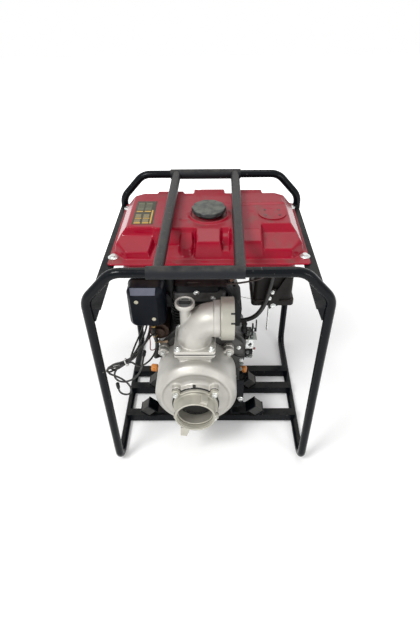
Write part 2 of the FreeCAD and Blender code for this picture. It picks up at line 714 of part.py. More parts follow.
def make_discharge_side():
    """The outlet gasket, the cast elbow, its discharge ring and the priming plug."""
    half = "outlet_side / 2"
    top = "outlet_face + gasket"
    seal = new_body("elbow_gasket", "shaft_x", "outlet_y")
    pad(seal, "XY", "outlet_face", top,
        lambda sketch: rectangle(sketch, f"-{half}", half, f"-{half}", half, "7"))
    pocket(seal, "XY", top, "outlet_face", lambda sketch: circle(sketch, "0", "0", "outlet_bore"))
    keep(seal, "elbow_gasket")

    elbow = new_body("discharge_elbow", "shaft_x", "outlet_y")
    end = "discharge_start - shaft_x"
    spine = sketch_on(elbow, "XZ")
    outline(spine, [("0", top), ("0", "elbow_height", "elbow_bend"),
                    (end, "elbow_height")], closed=False)
    section = sketch_on(elbow, "XY", top)
    circle(section, "0", "0", "elbow_radius")
    hollow = sketch_on(elbow, "XY", top)
    circle(hollow, "0", "0", "outlet_bore")
    doc.recompute()
    sweep(elbow, section, spine)
    pad(elbow, "XY", top, f"{top} + outlet_flange",
        lambda sketch: rectangle(sketch, f"-{half}", half, f"-{half}", half, "7"))
    pad(elbow, "YZ", "collar_start - shaft_x", end,
        lambda sketch: circle(sketch, "0", "elbow_height", "collar_radius"))
    neck_x = "priming_x - shaft_x"
    pad(elbow, "XY", "elbow_height - elbow_radius / 2", "priming_top",
        lambda sketch: circle(sketch, neck_x, "0", "priming_radius"))
    pad(elbow, "XY", "priming_top - priming_ring_height", "priming_top",
        lambda sketch: circle(sketch, neck_x, "0", "priming_ring"))
    sweep(elbow, hollow, spine, "SubtractivePipe")
    pocket(elbow, "XY", "priming_top", "priming_top - priming_ring_height + 3",
           lambda sketch: circle(sketch, neck_x, "0", "priming_bore"))
    keep(elbow, "discharge_elbow")

    ring = new_body("discharge_ring", "0", "outlet_y", "elbow_height")
    pad(ring, "YZ", "discharge_start", "discharge_end",
        lambda sketch: circle(sketch, "0", "0", "discharge_radius"))
    pocket(ring, "YZ", "discharge_end", "discharge_start + discharge_lip",
           lambda sketch: circle(sketch, "0", "0", "discharge_bore"))
    pocket(ring, "YZ", "discharge_start + discharge_lip", "discharge_start",
           lambda sketch: circle(sketch, "0", "0", "outlet_bore"))
    keep(ring, "discharge_ring")

    plug = new_body("priming_plug", "priming_x", "outlet_y")
    seat = "priming_top - priming_ring_height + 3"
    pad(plug, "XY", seat, "priming_top - plug_recess",
        lambda sketch: circle(sketch, "0", "0", "priming_bore"))
    for low, high in (("3.5", "priming_bore - 3.5"), ("-priming_bore + 3.5", "-3.5")):
        pocket(plug, "XY", "priming_top - plug_recess", "priming_top - plug_recess - 4",
               lambda sketch, a=low, b=high: rectangle(
                   sketch, "-priming_bore * 0.62", "priming_bore * 0.62", f"{a} * 0.72",
                   f"{b} * 0.72"))
    keep(plug, "priming_plug")


# Engine

def make_crankcase():
    """The cast crankcase, wider at shaft level, and its front cover."""
    left = "case_left"
    shape = [
        (left, "channel_top", "6"),
        ("case_right", "channel_top", "6"),
        ("case_right", "shaft_height - 20", "30"),
        ("case_bulge", "shaft_height + 20", "30"),
        ("case_bulge", "case_top - 46", "34"),
        ("case_right - 28", "case_top", "30"),
        ("barrel_left + 12", "case_top", "30"),
        (left, "case_top - 60", "30")]
    block = new_body("crankcase")
    pad(block, "XZ", "case_front + cover_depth", "case_back",
        lambda sketch: outline(sketch, shape))
    keep(block, "crankcase")
    cover = new_body("crankcase_cover")
    inner = [
        (f"{left} + 8", "channel_top + 8", "16"),
        ("case_right - 8", "channel_top + 8", "16"),
        ("case_right - 8", "shaft_height - 20", "30"),
        ("case_bulge - 6", "shaft_height + 18", "30"),
        ("case_bulge - 6", "case_top - 50", "30"),
        ("case_right - 36", "case_top - 8", "26"),
        ("barrel_left + 16", "case_top - 8", "26"),
        (f"{left} + 8", "case_top - 64", "26")]
    pad(cover, "XZ", "case_front", "case_front + cover_depth",
        lambda sketch: outline(sketch, inner))
    keep(cover, "crankcase_cover")


def make_cylinder():
    """The finned barrel, the head and the rocker cover, stacked on the crankcase."""
    middle_x = "(barrel_left + barrel_right) / 2"
    middle_y = "(barrel_front + barrel_back) / 2"
    top = "case_top + fin_count * fin_pitch"
    barrel = new_body("cylinder_barrel")
    pad(barrel, "XY", "case_top", top,
        lambda sketch: circle(sketch, middle_x, middle_y, "barrel_radius"))
    fin = pad(barrel, "XY", "case_top + fin_pitch - fin_sheet", "case_top + fin_pitch",
              lambda sketch: rectangle(sketch, "barrel_left", "barrel_right", "barrel_front",
                                       "barrel_back", "22"))
    doc.recompute()
    stack = barrel.newObject("PartDesign::LinearPattern", "fins")
    stack.Originals = [fin]
    roles = {feature.Role: feature for feature in barrel.Origin.OriginFeatures}
    stack.Direction = (roles["Z_Axis"], [""])
    bind(stack, Length="(fin_count - 1) * fin_pitch", Occurrences="fin_count")
    barrel.Tip = stack
    keep(barrel, "cylinder_barrel")

    head = new_body("cylinder_head")
    pad(head, "XY", top, f"{top} + head_height",
        lambda sketch: rectangle(sketch, "barrel_left + 4", "barrel_right - 2",
                                 "barrel_front + 3", "barrel_back - 3", "14"))
    keep(head, "cylinder_head")

    cover = new_body("rocker_cover")
    low = f"{top} + head_height"
    pad(cover, "XY", low, f"{low} + rocker_height",
        lambda sketch: rectangle(sketch, "barrel_left + 10", "barrel_right - 20",
                                 "barrel_front + 6", "barrel_back - 10", "16"), "-12")
    keep(cover, "rocker_cover")

    cowl = new_body("cylinder_cowl")
    roof = f"{low} + rocker_height + cowl_gap"
    side = "barrel_right + cowl_gap"
    pad(cowl, "XZ", "barrel_front + 4", "barrel_back + 8", lambda sketch: outline(sketch, [
        (side, "case_top"),
        (f"{side} + 34", "case_top"),
        (f"{side} + 38", "case_top + 62"),
        (f"{side} - 6", f"{roof} - 4"),
        (f"{side} - 20", roof),
        ("barrel_left + 50", roof),
        ("barrel_left + 50", f"{roof} - cowl_sheet"),
        (f"{side} - 20", f"{roof} - cowl_sheet"),
        (side, f"{roof} - 24")]))
    pocket(cowl, "YZ", f"{side} - 20", f"{side} + 40",
           lambda sketch: circle(sketch, "exhaust_y", "exhaust_z", "exhaust_radius + cowl_gap"))
    keep(cowl, "cylinder_cowl")


def make_fan_side():
    """The flywheel fan housing, the recoil starter cover and its pull handle."""
    housing = new_body("fan_housing", "0", "case_back")
    pad(housing, "XZ", "0", "fan_depth",
        lambda sketch: circle(sketch, "shaft_x", "shaft_height", "fan_radius"))
    pad(housing, "XZ", "0", "fan_depth - 12", lambda sketch: outline(sketch, [
        ("shaft_x - 78", "shaft_height"),
        ("shaft_x + fan_radius - 2", "shaft_height"),
        ("shaft_x + fan_radius - 2", "case_top + 40", "30"),
        ("shaft_x + 80", "case_top + 130", "30"),
        ("shaft_x - 78", "case_top + 130", "30")]))
    keep(housing, "fan_housing")

    cover = new_body("recoil_cover", "shaft_x", "case_back + fan_depth", "shaft_height")
    revolve(cover, "YZ", "H_Axis", lambda sketch: outline(sketch, [
        ("0", "0"), ("0", "recoil_radius"), ("recoil_depth * 0.4", "recoil_radius", "6"),
        ("recoil_depth", "recoil_radius * 0.78", "8"), ("recoil_depth", "recoil_radius * 0.4"),
        ("recoil_depth * 0.8", "recoil_radius * 0.36"), ("recoil_depth * 0.8", "0")]))
    for turn in range(0, 360, 45):
        slot_x = f"recoil_radius * 0.6 * cos({turn + 22.5})"
        slot_z = f"recoil_radius * 0.6 * sin({turn + 22.5})"
        pocket(cover, "XZ", "recoil_depth + 1", "recoil_depth - 6",
               lambda sketch, a=slot_x, b=slot_z: circle(sketch, a, b, "recoil_radius * 0.11"))
    keep(cover, "recoil_cover")

    handle = new_body("recoil_handle", "shaft_x", "case_back + fan_depth",
                      "shaft_height + recoil_radius - 1")
    pad(handle, "YZ", "-handle_length / 2", "handle_length / 2",
        lambda sketch: circle(sketch, "recoil_depth / 2", "handle_radius", "handle_radius"))
    keep(handle, "recoil_handle")


def make_engine_fittings():
    """The starter motor, the oil caps and the injection pump with its controls."""
    starter = rod("starter_can", "Y", "starter_radius", "starter_length", "starter_x",
                  "starter_front", "starter_z")
    nose = rod("starter_nose", "Y", "starter_radius * 0.55", "nose_length", "starter_x",
               "starter_front - nose_length", "starter_z")
    keep(fuse("starter_motor", starter, nose), "starter_motor")
    left = rod("oil_cap_left", "X", "oil_cap_radius", "oil_cap_length",
               "case_left - oil_cap_length", "oil_cap_y", "oil_cap_z")
    right = rod("oil_cap_right", "X", "oil_cap_radius", "oil_cap_length", "case_right",
                "oil_cap_y", "oil_cap_z")
    keep(group("oil_caps", left, right), "oil_caps")
    plate_x = "case_bulge + block_width"
    pivot_x = f"{plate_x} + lever_sheet"
    keep(box("injection_pump", ("case_bulge", plate_x),
             ("block_front", "block_front + block_length"),
             ("case_top - block_low", "case_top - block_high")), "injection_pump")
    plate_front = "lever_y - plate_half"
    plate = box("control_plate", (plate_x, pivot_x), (plate_front, "lever_y + plate_half"),
                ("case_top - plate_low", "case_top - plate_high"))
    tab = box("control_tab", (f"{pivot_x} - tab_width", pivot_x),
              (f"{plate_front} - lever_sheet", plate_front),
              ("case_top - tab_low", "case_top - tab_high"))
    keep(fuse("control_bracket", plate, tab), "control_bracket")
    hub = rod("lever_hub", "X", "hub_radius", "lever_gap + lever_sheet - hub_play",
              f"{pivot_x} + hub_play", "lever_y", "lever_pivot_z")
    arm = box("lever_arm", (f"{pivot_x} + lever_gap", f"{pivot_x} + lever_gap + lever_sheet"),
              ("lever_y - lever_half", "lever_y + lever_half"),
              ("lever_pivot_z", "lever_pivot_z + lever_length"))
    keep(fuse("speed_lever", hub, arm), "speed_lever")


def make_air_cleaner():
    """The bevelled cover, the body behind it and the duct to the cylinder head."""
    cover = new_body("air_cleaner_cover")
    shoulder = "cleaner_face + cleaner_bevel"
    face = sketch_on(cover, "XZ", "cleaner_face")
    rectangle(face, "cleaner_left + 9", "cleaner_right - 17", "cleaner_bottom + 11",
              "cleaner_top - 20", "cleaner_round * 0.6")
    rim = sketch_on(cover, "XZ", shoulder)
    rectangle(rim, "cleaner_left", "cleaner_right", "cleaner_bottom", "cleaner_top",
              "cleaner_round")
    doc.recompute()
    loft = cover.newObject("PartDesign::AdditiveLoft", "bevel")
    loft.Profile = (face, [""])
    loft.Sections = [(rim, [""])]
    cover.Tip = loft
    pad(cover, "XZ", shoulder, "cleaner_rim", lambda sketch: rectangle(
        sketch, "cleaner_left", "cleaner_right", "cleaner_bottom", "cleaner_top",
        "cleaner_round"))
    keep(cover, "air_cleaner_cover")

    body = new_body("air_cleaner_body")
    low = "cleaner_bottom + cleaner_step"
    pad(body, "XZ", "cleaner_rim", "cleaner_back", lambda sketch: rectangle(
        sketch, "cleaner_left + cleaner_step", "cleaner_right - cleaner_step + 1", low,
        "cleaner_top - cleaner_step", "cleaner_round"))
    pad(body, "XZ", "cleaner_rim", "cleaner_rim + clip_depth", lambda sketch: rectangle(
        sketch, "clip_left", "clip_left + clip_width", f"{low} - clip_height", f"{low} + 2"))
    keep(body, "air_cleaner_body")
    duct_left = "cleaner_right - cleaner_step + 1"
    keep(rod("intake_duct", "X", "head_height / 2 - 1", f"barrel_left + 4 - ({duct_left})",
             duct_left, "(cleaner_rim + cleaner_back) / 2 + 10", "exhaust_z"), "intake_duct")


def make_muffler():
    """The box muffler with its seam lip, hung from the tank pan by two straps."""
    body = new_body("muffler")
    pad(body, "XY", "muffler_bottom", "muffler_top", lambda sketch: rectangle(
        sketch, "muffler_left", "muffler_right", "muffler_front", "muffler_back",
        "muffler_round"))
    pad(body, "XY", "muffler_bottom", "muffler_bottom + muffler_lip_height",
        lambda sketch: rectangle(
            sketch, "muffler_left - muffler_lip", "muffler_right + muffler_lip",
            "muffler_front - muffler_lip", "muffler_back + muffler_lip", "muffler_round"))
    keep(body, "muffler")
    keep(rod("exhaust_pipe", "X", "exhaust_radius", "muffler_left - barrel_right + 2",
             "barrel_right - 2", "exhaust_y", "exhaust_z"), "exhaust_pipe")
    front = "muffler_front + strap_inset"
    depth = (front, f"{front} + strap_sheet")
    height = ("muffler_top", "pan_low")
    left = "muffler_left + muffler_round"
    middle = f"{left} + strap_narrow"
    narrow = box("strap_narrow_plate", (left, middle), depth, height)
    wide = box("strap_wide_plate", (f"{middle} + strap_gap", f"{middle} + strap_gap + strap_wide"),
               depth, height)
    drain = rod("drain_rod", "Z", "drain_radius", "drain_length", "drain_x", "drain_y",
                "muffler_bottom - drain_length")
    keep(group("muffler_hangers", narrow, wide, drain), "muffler_hangers")


# Fuel tank

# Side outlines of what is pressed down at the front of the tank, as distances behind
# the foot of the front wall and above the flange
LEFT_STEP = [(-23, 5), (50, 40), (56, 64), (-23, 64)]
RECESS_STEP = [(-23, 0), (-3, 0), (42, 16), (50, 64), (-23, 64)]
CENTRE_STEP = [(-23, 33), (43, 60), (43, 64), (-23, 64)]
NOTCH_STEP = [(-23, 19), (7, 19), (23, 22), (33, 43), (45, 48), (55, 64), (-23, 64)]
MIDDLE_STEP = [(-23, 34), (39, 60), (39, 64), (-23, 64)]
RIGHT_STEP = [(-23, 16), (59, 41), (63, 50), (68, 55), (70, 64), (-23, 64)]
TONGUE_SIDE = [(3, 0), (3, 10), (8, 22), (51, 55), (56, 57), (56, 0)]
# Left, right and distance from the rear foot of the blocks along the rear edge
REAR_BLOCKS = [(-141, -67, 12), (-36, 36, 4), (80, 142, 3)]


def side_outline(corners):
    """Corners seen from the side, as expressions from the front foot and the flange."""
    return [(f"front_foot + ({along})", f"flange_top + {rise}") for along, rise in corners]


def footprint(inset):
    """The eight corners of the tank's raised part, moved in by inset."""
    side = f"side_foot - {inset}"
    front = f"front_foot + {inset}"
    rear = f"rear_foot - {inset}"
    return [
        (f"-({side})", "front_foot + front_cut"), ("-(side_foot - front_cut)", front),
        ("side_foot - front_cut", front), (side, "front_foot + front_cut"),
        (side, "rear_foot - front_cut"), ("side_foot - rear_cut", rear),
        ("-(side_foot - rear_cut)", rear), (f"-({side})", "rear_foot - front_cut")]


def make_upper_shell():
    """The pressed upper half: a plateau with sloping sides, stepped down at the front."""
    upper = new_body("tank_upper_shell")
    pad(upper, "XY", "flange_low", "flange_top", lambda sketch: rectangle(
        sketch, "-tank_half", "tank_half", "tank_front", "tank_back", "tank_corner"))
    shoulder = "flange_top + break_rise"
    pad(upper, "XY", "flange_top", shoulder, lambda sketch: outline(sketch, footprint("0")),
        "-steep_draft")
    pad(upper, "XY", shoulder, "plateau", lambda sketch: outline(sketch, footprint("break_inset")),
        "-side_draft")
    pad(upper, "XY", "flange_top", "plateau", lambda sketch: rectangle(
        sketch, "recess_right", "middle_right + block_draft", "front_foot", "0"), "-block_draft")
    for left, right, rear in REAR_BLOCKS:
        pad(upper, "XY", "flange_top", "plateau", lambda sketch, a=left, b=right, c=rear: rectangle(
            sketch, a, b, "rear_foot - 2 * rear_cut", f"rear_foot - {c}"), "-steep_draft")
    for left, right, step in (("-tank_half", "left_block", LEFT_STEP),
                              ("left_block", "recess_right", RECESS_STEP),
                              ("recess_right", "centre_right", CENTRE_STEP),
                              ("centre_right", "notch_right", NOTCH_STEP),
                              ("notch_right", "middle_right", MIDDLE_STEP),
                              ("middle_right", "tank_half", RIGHT_STEP)):
        pocket(upper, "YZ", left, right,
               lambda sketch, corners=step: outline(sketch, side_outline(corners)))
    pad(upper, "YZ", "tongue_left", "tongue_right",
        lambda sketch: outline(sketch, side_outline(TONGUE_SIDE)))
    pad(upper, "XY", "plateau", "plateau + panel_rise", lambda sketch: outline(sketch, [
        ("panel_left", "panel_front"), ("panel_right", "panel_front + 8"),
        ("panel_right - 5", "panel_back - 26"), ("panel_right - 21", "panel_back"),
        ("panel_left", "panel_back")]), "-side_draft")
    keep(upper, "tank_upper_shell")


def make_tank():
    """The two pressed halves, the pads below, the filler with its cap and the gauge cover."""
    make_upper_shell()

    lower = new_body("tank_lower_shell")
    pad(lower, "XY", "pan_top", "flange_low", lambda sketch: rectangle(
        sketch, "-rail_inner + 2", "rail_inner - 2", "tank_front + 6", "tank_back - 6",
        "tank_corner"))
    pad(lower, "XY", "pan_top", "pan_low", lambda sketch: rectangle(
        sketch, "-rail_inner + 12", "rail_inner - 12", "tank_front + 22", "tank_back - 22",
        "tank_corner"), "pan_draft")
    keep(lower, "tank_lower_shell")

    spots = [(x, y) for x in ("-side_foot", "side_foot")
             for y in ("tank_front + bolt_inset", "tank_back - bolt_inset")]
    pads = [rod(f"tank_pad_{i}", "Z", "pad_radius", "pad_height", x, y, "rail_top")
            for i, (x, y) in enumerate(spots)]
    keep(group("tank_pads", *pads), "tank_pads")

    neck = new_body("filler_neck", "cap_x", "cap_y")
    pad(neck, "XY", "plateau", "plateau + cap_gap + cap_height - 6",
        lambda sketch: circle(sketch, "0", "0", "neck_radius"))
    keep(neck, "filler_neck")

    cap = new_body("fuel_cap", "cap_x", "cap_y", "plateau + cap_gap")
    pad(cap, "XY", "0", "cap_height", lambda sketch: circle(sketch, "0", "0", "cap_radius"))
    round_edges(cap, "3", lambda edge: edge.BoundBox.ZMin > 1 and edge.BoundBox.ZLength < 0.1)
    scallop = pocket(cap, "XY", "cap_height", "0",
                     lambda sketch: circle(sketch, "cap_radius + 5", "0", "9"))
    doc.recompute()
    ring = cap.newObject("PartDesign::PolarPattern", "scallops")
    ring.Originals = [scallop]
    roles = {feature.Role: feature for feature in cap.Origin.OriginFeatures}
    ring.Axis = (roles["Z_Axis"], [""])
    ring.Angle = 360
    bind(ring, Occurrences="cap_scallops")
    cap.Tip = ring
    pocket(cap, "XY", "0", "cap_height - 5.5",
           lambda sketch: circle(sketch, "0", "0", "neck_radius + 0.6"))
    keep(cap, "fuel_cap")

    keep(rod("gauge_cover", "Z", "gauge_radius", "3", "gauge_x", "gauge_y", "plateau"),
         "gauge_cover")


# Hoses and leads

# Diameter and route of each, from its exit. The routes stay as chosen.
ROUTES = {
    "fuel_hose": (8.5, [
        (174, -4, 534), (174, -4, 508), (172, -5, 474), (165, -5, 440), (156, -5, 406),
        (146, -4, 374), (134, -2, 350), (119, -3, 333), (114, -8, 315), (114, -8, 296)]),
    "return_line": (4, [
        (-98, -50, 534), (-98, -50, 520), (-85, -50, 509.5), (-60, -51, 505), (-14, -52, 502),
        (38, -52, 501), (86, -51, 504), (120, -50, 510), (140, -50, 520), (140, -50, 534)]),
    "wiring_harness": (9, [
        (-158, -51, 383), (-158, -51, 364), (-160, -66, 340), (-165, -75, 311),
        (-170, -73, 283), (-176, -60, 258), (-172, -42, 236), (-150, -42, 236)]),
    "lead_a": (5, [
        (-176, -51, 383), (-176, -51, 364), (-181, -68, 345), (-188, -98, 340),
        (-190, -130, 350), (-192, -164, 362), (-203.4, -198.6, 362.4), (-228, -201.4, 349.4),
        (-252, -203, 345), (-269, -201, 330), (-268, -198, 308), (-248, -197, 297),
        (-228, -200, 284), (-214, -203, 264), (-214, -205, 243), (-224, -205, 233),
        (-238, -204, 233), (-248, -203, 243), (-248, -203, 257)]),
    "lead_b": (5, [
        (-168, -51, 383), (-168, -51, 364), (-170, -70, 345), (-176, -102, 338),
        (-182, -136, 344), (-188, -170, 354), (-201, -198.6, 357.6), (-225.6, -201.4, 344.6),
        (-246, -206, 330), (-252, -210, 306), (-236, -212, 290), (-212, -210, 292),
        (-192, -204, 304), (-180, -196, 322), (-177, -176, 333), (-177, -157, 333)]),
}
PLUG_RADIUS = 5
PLUG_LENGTH = 20


def make_cord(name, diameter, route):
    """A tube along straight runs joined by tangent arcs as large as the runs allow."""
    spots = [Vector(*spot) for spot in route]
    edges = []
    radii = []
    start = spots[0]
    for before, spot, after in zip(spots, spots[1:], spots[2:]):
        back = before - spot
        ahead = after - spot
        half_turn = (math.pi - back.getAngle(ahead)) / 2
        reach = 0.45 * min(back.Length, ahead.Length)
        radius = reach / math.tan(half_turn)
        radii.append(round(radius))
        enter = spot + back * (reach / back.Length)
        leave = spot + ahead * (reach / ahead.Length)
        inward = (enter + leave) * 0.5 - spot
        middle = spot + inward * (radius * (1 / math.cos(half_turn) - 1) / inward.Length)
        edges.append(Part.LineSegment(start, enter).toShape())
        edges.append(Part.Arc(enter, middle, leave).toShape())
        start = leave
    edges.append(Part.LineSegment(start, spots[-1]).toShape())
    path = Part.Wire(edges)
    ring = Part.Circle(spots[0], spots[1] - spots[0], diameter / 2).toShape()
    item = doc.addObject("Part::Feature", name)
    item.Shape = path.makePipeShell([Part.Wire([ring])], True, False)
    full = math.pi * diameter ** 2 / 4 * path.Length
    share = item.Shape.Volume / full
    print(name, f"{path.Length:.0f} mm, volume share {share:.3f}, radii", *radii)
    return keep(item, name)


def make_cords():
    for name, (diameter, route) in ROUTES.items():
        make_cord(name, diameter, route)
    plugs = []
    for name, axis in (("lead_a", "Z"), ("lead_b", "Y")):
        x, y, z = ROUTES[name][1][-1]
        plugs.append(rod(name + "_plug", axis, PLUG_RADIUS, PLUG_LENGTH, x, y, z))
    keep(group("lead_plugs", *plugs), "lead_plugs")


def make_all():
    make_frame()
    make_mounts()
    make_back_plate()
    make_casing()
    make_suction_side()
    make_discharge_side()
    make_crankcase()
    make_cylinder()
    make_fan_side()
    make_engine_fittings()
    make_air_cleaner()
    make_muffler()
    make_tank()
    make_cords()


def check_document():
    """Stops if an object failed to build or a piece isn't a valid solid."""
    faults = [item.Name for item in doc.Objects
              if "Invalid" in item.State or "Error" in item.State]
    if faults:
        raise RuntimeError("failed objects: " + ", ".join(faults))
    for name, item in NODES.items():
        shape = item.Shape
        if shape.isNull() or not shape.isValid() or not shape.Solids:
            raise RuntimeError("not a valid solid: " + name)


make_all()
doc.recompute()
check_document()
os.makedirs("parts", exist_ok=True)
for name, item in NODES.items():
    item.Shape.exportStep(f"parts/{name}.step")
print(len(NODES), "pieces written")
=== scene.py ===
import math

import bmesh
import bpy
import numpy as np
from mathutils import Euler, Matrix, Vector


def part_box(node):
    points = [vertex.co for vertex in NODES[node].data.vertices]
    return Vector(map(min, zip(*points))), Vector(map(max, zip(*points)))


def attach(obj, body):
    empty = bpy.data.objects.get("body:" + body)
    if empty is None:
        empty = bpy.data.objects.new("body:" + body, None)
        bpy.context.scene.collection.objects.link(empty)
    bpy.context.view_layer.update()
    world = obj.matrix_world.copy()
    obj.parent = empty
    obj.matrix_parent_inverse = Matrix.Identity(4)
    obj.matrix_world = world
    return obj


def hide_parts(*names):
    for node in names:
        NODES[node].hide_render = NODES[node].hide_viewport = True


# Looks of a diesel water pump in a tube frame.
# X runs to the right seen from the suction side, Y away from the viewer, Z up, in metres.
# Sizes below are written in millimetres and turned into metres by MM.

MM = 0.001
BODY = "machine"

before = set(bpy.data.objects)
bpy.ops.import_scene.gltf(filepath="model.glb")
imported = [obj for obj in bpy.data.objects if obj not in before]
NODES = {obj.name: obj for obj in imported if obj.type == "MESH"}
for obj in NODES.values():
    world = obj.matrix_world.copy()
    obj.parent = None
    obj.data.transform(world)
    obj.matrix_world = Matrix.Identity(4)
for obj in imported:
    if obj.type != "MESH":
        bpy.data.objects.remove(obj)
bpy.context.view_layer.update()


def at(x, y, z):
    """A point given in millimetres, in metres."""
    return Vector((x, y, z)) * MM


# Directions
RIGHT, UP = (1, 0, 0), (0, 0, 1)
FRONT, BACK = (0, -1, 0), (0, 1, 0)


# Node helpers


def fill(node, **sockets):
    """Sets inputs of a node; an underscore stands for a space in their names."""
    for socket, value in sockets.items():
        node.inputs[socket.replace("_", " ")].default_value = value


def ranged(tree, source, low, high, out_low=0.0, out_high=1.0, curve="LINEAR"):
    """A value brought from one range to another and kept inside it."""
    node = tree.nodes.new("ShaderNodeMapRange")
    node.interpolation_type = curve
    fill(node, From_Min=low, From_Max=high, To_Min=out_low, To_Max=out_high)
    tree.links.new(source, node.inputs["Value"])
    return node.outputs["Result"]


def combined(tree, operation, first, second):
    """Two values, or a value and a number, put together."""
    node = tree.nodes.new("ShaderNodeMath")
    node.operation = operation
    tree.links.new(first, node.inputs[0])
    if isinstance(second, float):
        node.inputs[1].default_value = second
    else:
        tree.links.new(second, node.inputs[1])
    return node.outputs[0]


# Materials


class Paint:
    """A node material with a principled shader and shorthand for its node tree."""

    def __init__(self, name, colour, roughness, metallic=0.0, **sockets):
        self.material = bpy.data.materials.new(name)
        self.material.use_nodes = True
        self.tree = self.material.node_tree
        self.shader = self.tree.nodes["Principled BSDF"]
        fill(self.shader, Base_Color=(*colour, 1), Roughness=roughness, Metallic=metallic)
        fill(self.shader, **sockets)
        self.coordinates = self.add("ShaderNodeTexCoord").outputs["Object"]

    def add(self, kind, **values):
        node = self.tree.nodes.new(kind)
        for name, value in values.items():
            setattr(node, name, value)
        return node

    def link(self, source, target):
        self.tree.links.new(source, target)

    def noise(self, scale, detail=3.0, stretch=(1, 1, 1)):
        mapping = self.add("ShaderNodeMapping")
        fill(mapping, Scale=stretch)
        self.link(self.coordinates, mapping.inputs["Vector"])
        node = self.add("ShaderNodeTexNoise")
        fill(node, Scale=scale, Detail=detail, Roughness=0.55)
        self.link(mapping.outputs["Vector"], node.inputs["Vector"])
        return node.outputs["Fac"]

    def ramp(self, source, low, high, out_low=0.0, out_high=1.0):
        return ranged(self.tree, source, low, high, out_low, out_high, "SMOOTHSTEP")

    def times(self, first, second):
        return combined(self.tree, "MULTIPLY", first, second)

    def upward(self, low, high):
        """1 on faces that look up, 0 on the others."""
        normal = self.add("ShaderNodeNewGeometry").outputs["Normal"]
        split = self.add("ShaderNodeSeparateXYZ")
        self.link(normal, split.inputs[0])
        return self.ramp(split.outputs["Z"], low, high)

    def edges(self, low, high):
        """1 on convex edges, for wear."""
        return self.ramp(self.add("ShaderNodeNewGeometry").outputs["Pointiness"], low, high)

    def blend(self, kind, socket, factor, value):
        """Lays a value over what an input of the shader has so far."""
        target = self.shader.inputs[socket]
        node = self.add("ShaderNodeMix", data_type=kind)
        if target.links:
            self.link(target.links[0].from_socket, node.inputs["A"])
        else:
            node.inputs["A"].default_value = target.default_value
        node.inputs["B"].default_value = value
        self.link(factor, node.inputs["Factor"])
        self.link(node.outputs["Result"], target)

    def blend_colour(self, factor, colour):
        self.blend("RGBA", "Base Color", factor, (*colour, 1))

    def mottle(self, scale, low, high, amount, colour, detail=3.0, stretch=(1, 1, 1), mask=None):
        """Blotches of another colour; a mask keeps them to some faces."""
        patches = self.ramp(self.noise(scale, detail, stretch), low, high)
        if mask is not None:
            patches = self.times(patches, mask)
        self.blend_colour(self.times(patches, amount), colour)

    def blend_rough(self, factor, roughness):
        self.blend("FLOAT", "Roughness", factor, roughness)

    def add_bump(self, scale, strength, distance, detail=3.0):
        """A fine relief, on top of the ones that are there."""
        target = self.shader.inputs["Normal"]
        node = self.add("ShaderNodeBump")
        fill(node, Strength=strength, Distance=distance)
        self.link(self.noise(scale, detail), node.inputs["Height"])
        if target.links:
            self.link(target.links[0].from_socket, node.inputs["Normal"])
        self.link(node.outputs["Normal"], target)

    def dust(self, colour, amount, scale, low=0.35, high=0.9, roughness=0.75):
        """A layer of dust that lies on upward faces in uneven patches."""
        patches = self.ramp(self.noise(scale, 5.0), 0.28, 0.62)
        factor = self.times(self.times(self.upward(low, high), patches), amount)
        self.blend_colour(factor, colour)
        self.blend_rough(factor, roughness)


def frame_black():
    paint = Paint("frame_black", (0.0026, 0.0038, 0.0055), 0.15, Specular_IOR_Level=0.12)
    paint.blend_rough(paint.ramp(paint.noise(45), 0.4, 0.7), 0.3)
    paint.mottle(150, 0.67, 0.71, 0.5, (0.20, 0.19, 0.18), 6.0, (1, 0.35, 1))
    paint.dust((0.060, 0.056, 0.050), 0.3, 20, 0.85, 1.0, 0.7)
    paint.add_bump(700, 0.10, 0.0004)
    return paint.material


def bar_black():
    """The carrying bars, whose tops are worn and dusty all over."""
    paint = Paint("bar_black", (0.006, 0.0065, 0.007), 0.4, Specular_IOR_Level=0.35)
    paint.mottle(210, 0.62, 0.70, 0.6, (0.24, 0.22, 0.20), 6.0)
    paint.dust((0.060, 0.057, 0.054), 0.6, 70, 0.45, 0.95, 0.7)
    paint.add_bump(500, 0.2, 0.0005)
    return paint.material


def tank_red():
    paint = Paint("tank_red", (0.31, 0.0012, 0.018), 0.2, Specular_IOR_Level=0.14,
                  Coat_Weight=0.16, Coat_Roughness=0.05)
    paint.mottle(9, 0.35, 0.7, 0.4, (0.20, 0.0015, 0.013), 4.0)
    # Upward faces turn pale pink in patches: partly dust, partly a painted sheen for the light
    # that the tops catch.
    dust_and_sheen = paint.ramp(paint.noise(11, 5.0), 0.25, 0.6, 0.55, 1.0)
    tilt = paint.upward(0.55, 0.995)
    paint.blend_colour(paint.times(paint.times(tilt, dust_and_sheen), 0.42), (0.26, 0.075, 0.08))
    paint.blend_rough(paint.times(tilt, 0.7), 0.5)
    flat = paint.upward(0.9, 0.999)
    paint.mottle(17, 0.5, 0.66, 0.6, (0.16, 0.07, 0.062), 6.0, (1, 0.6, 1), flat)
    paint.mottle(80, 0.66, 0.73, 0.5, (0.13, 0.045, 0.04), 5.0, mask=flat)
    paint.mottle(30, 0.63, 0.69, 0.75, (0.30, 0.003, 0.022), 3.0, (1, 2.4, 1), flat)
    paint.add_bump(26, 0.10, 0.0015, 2.0)
    return paint.material


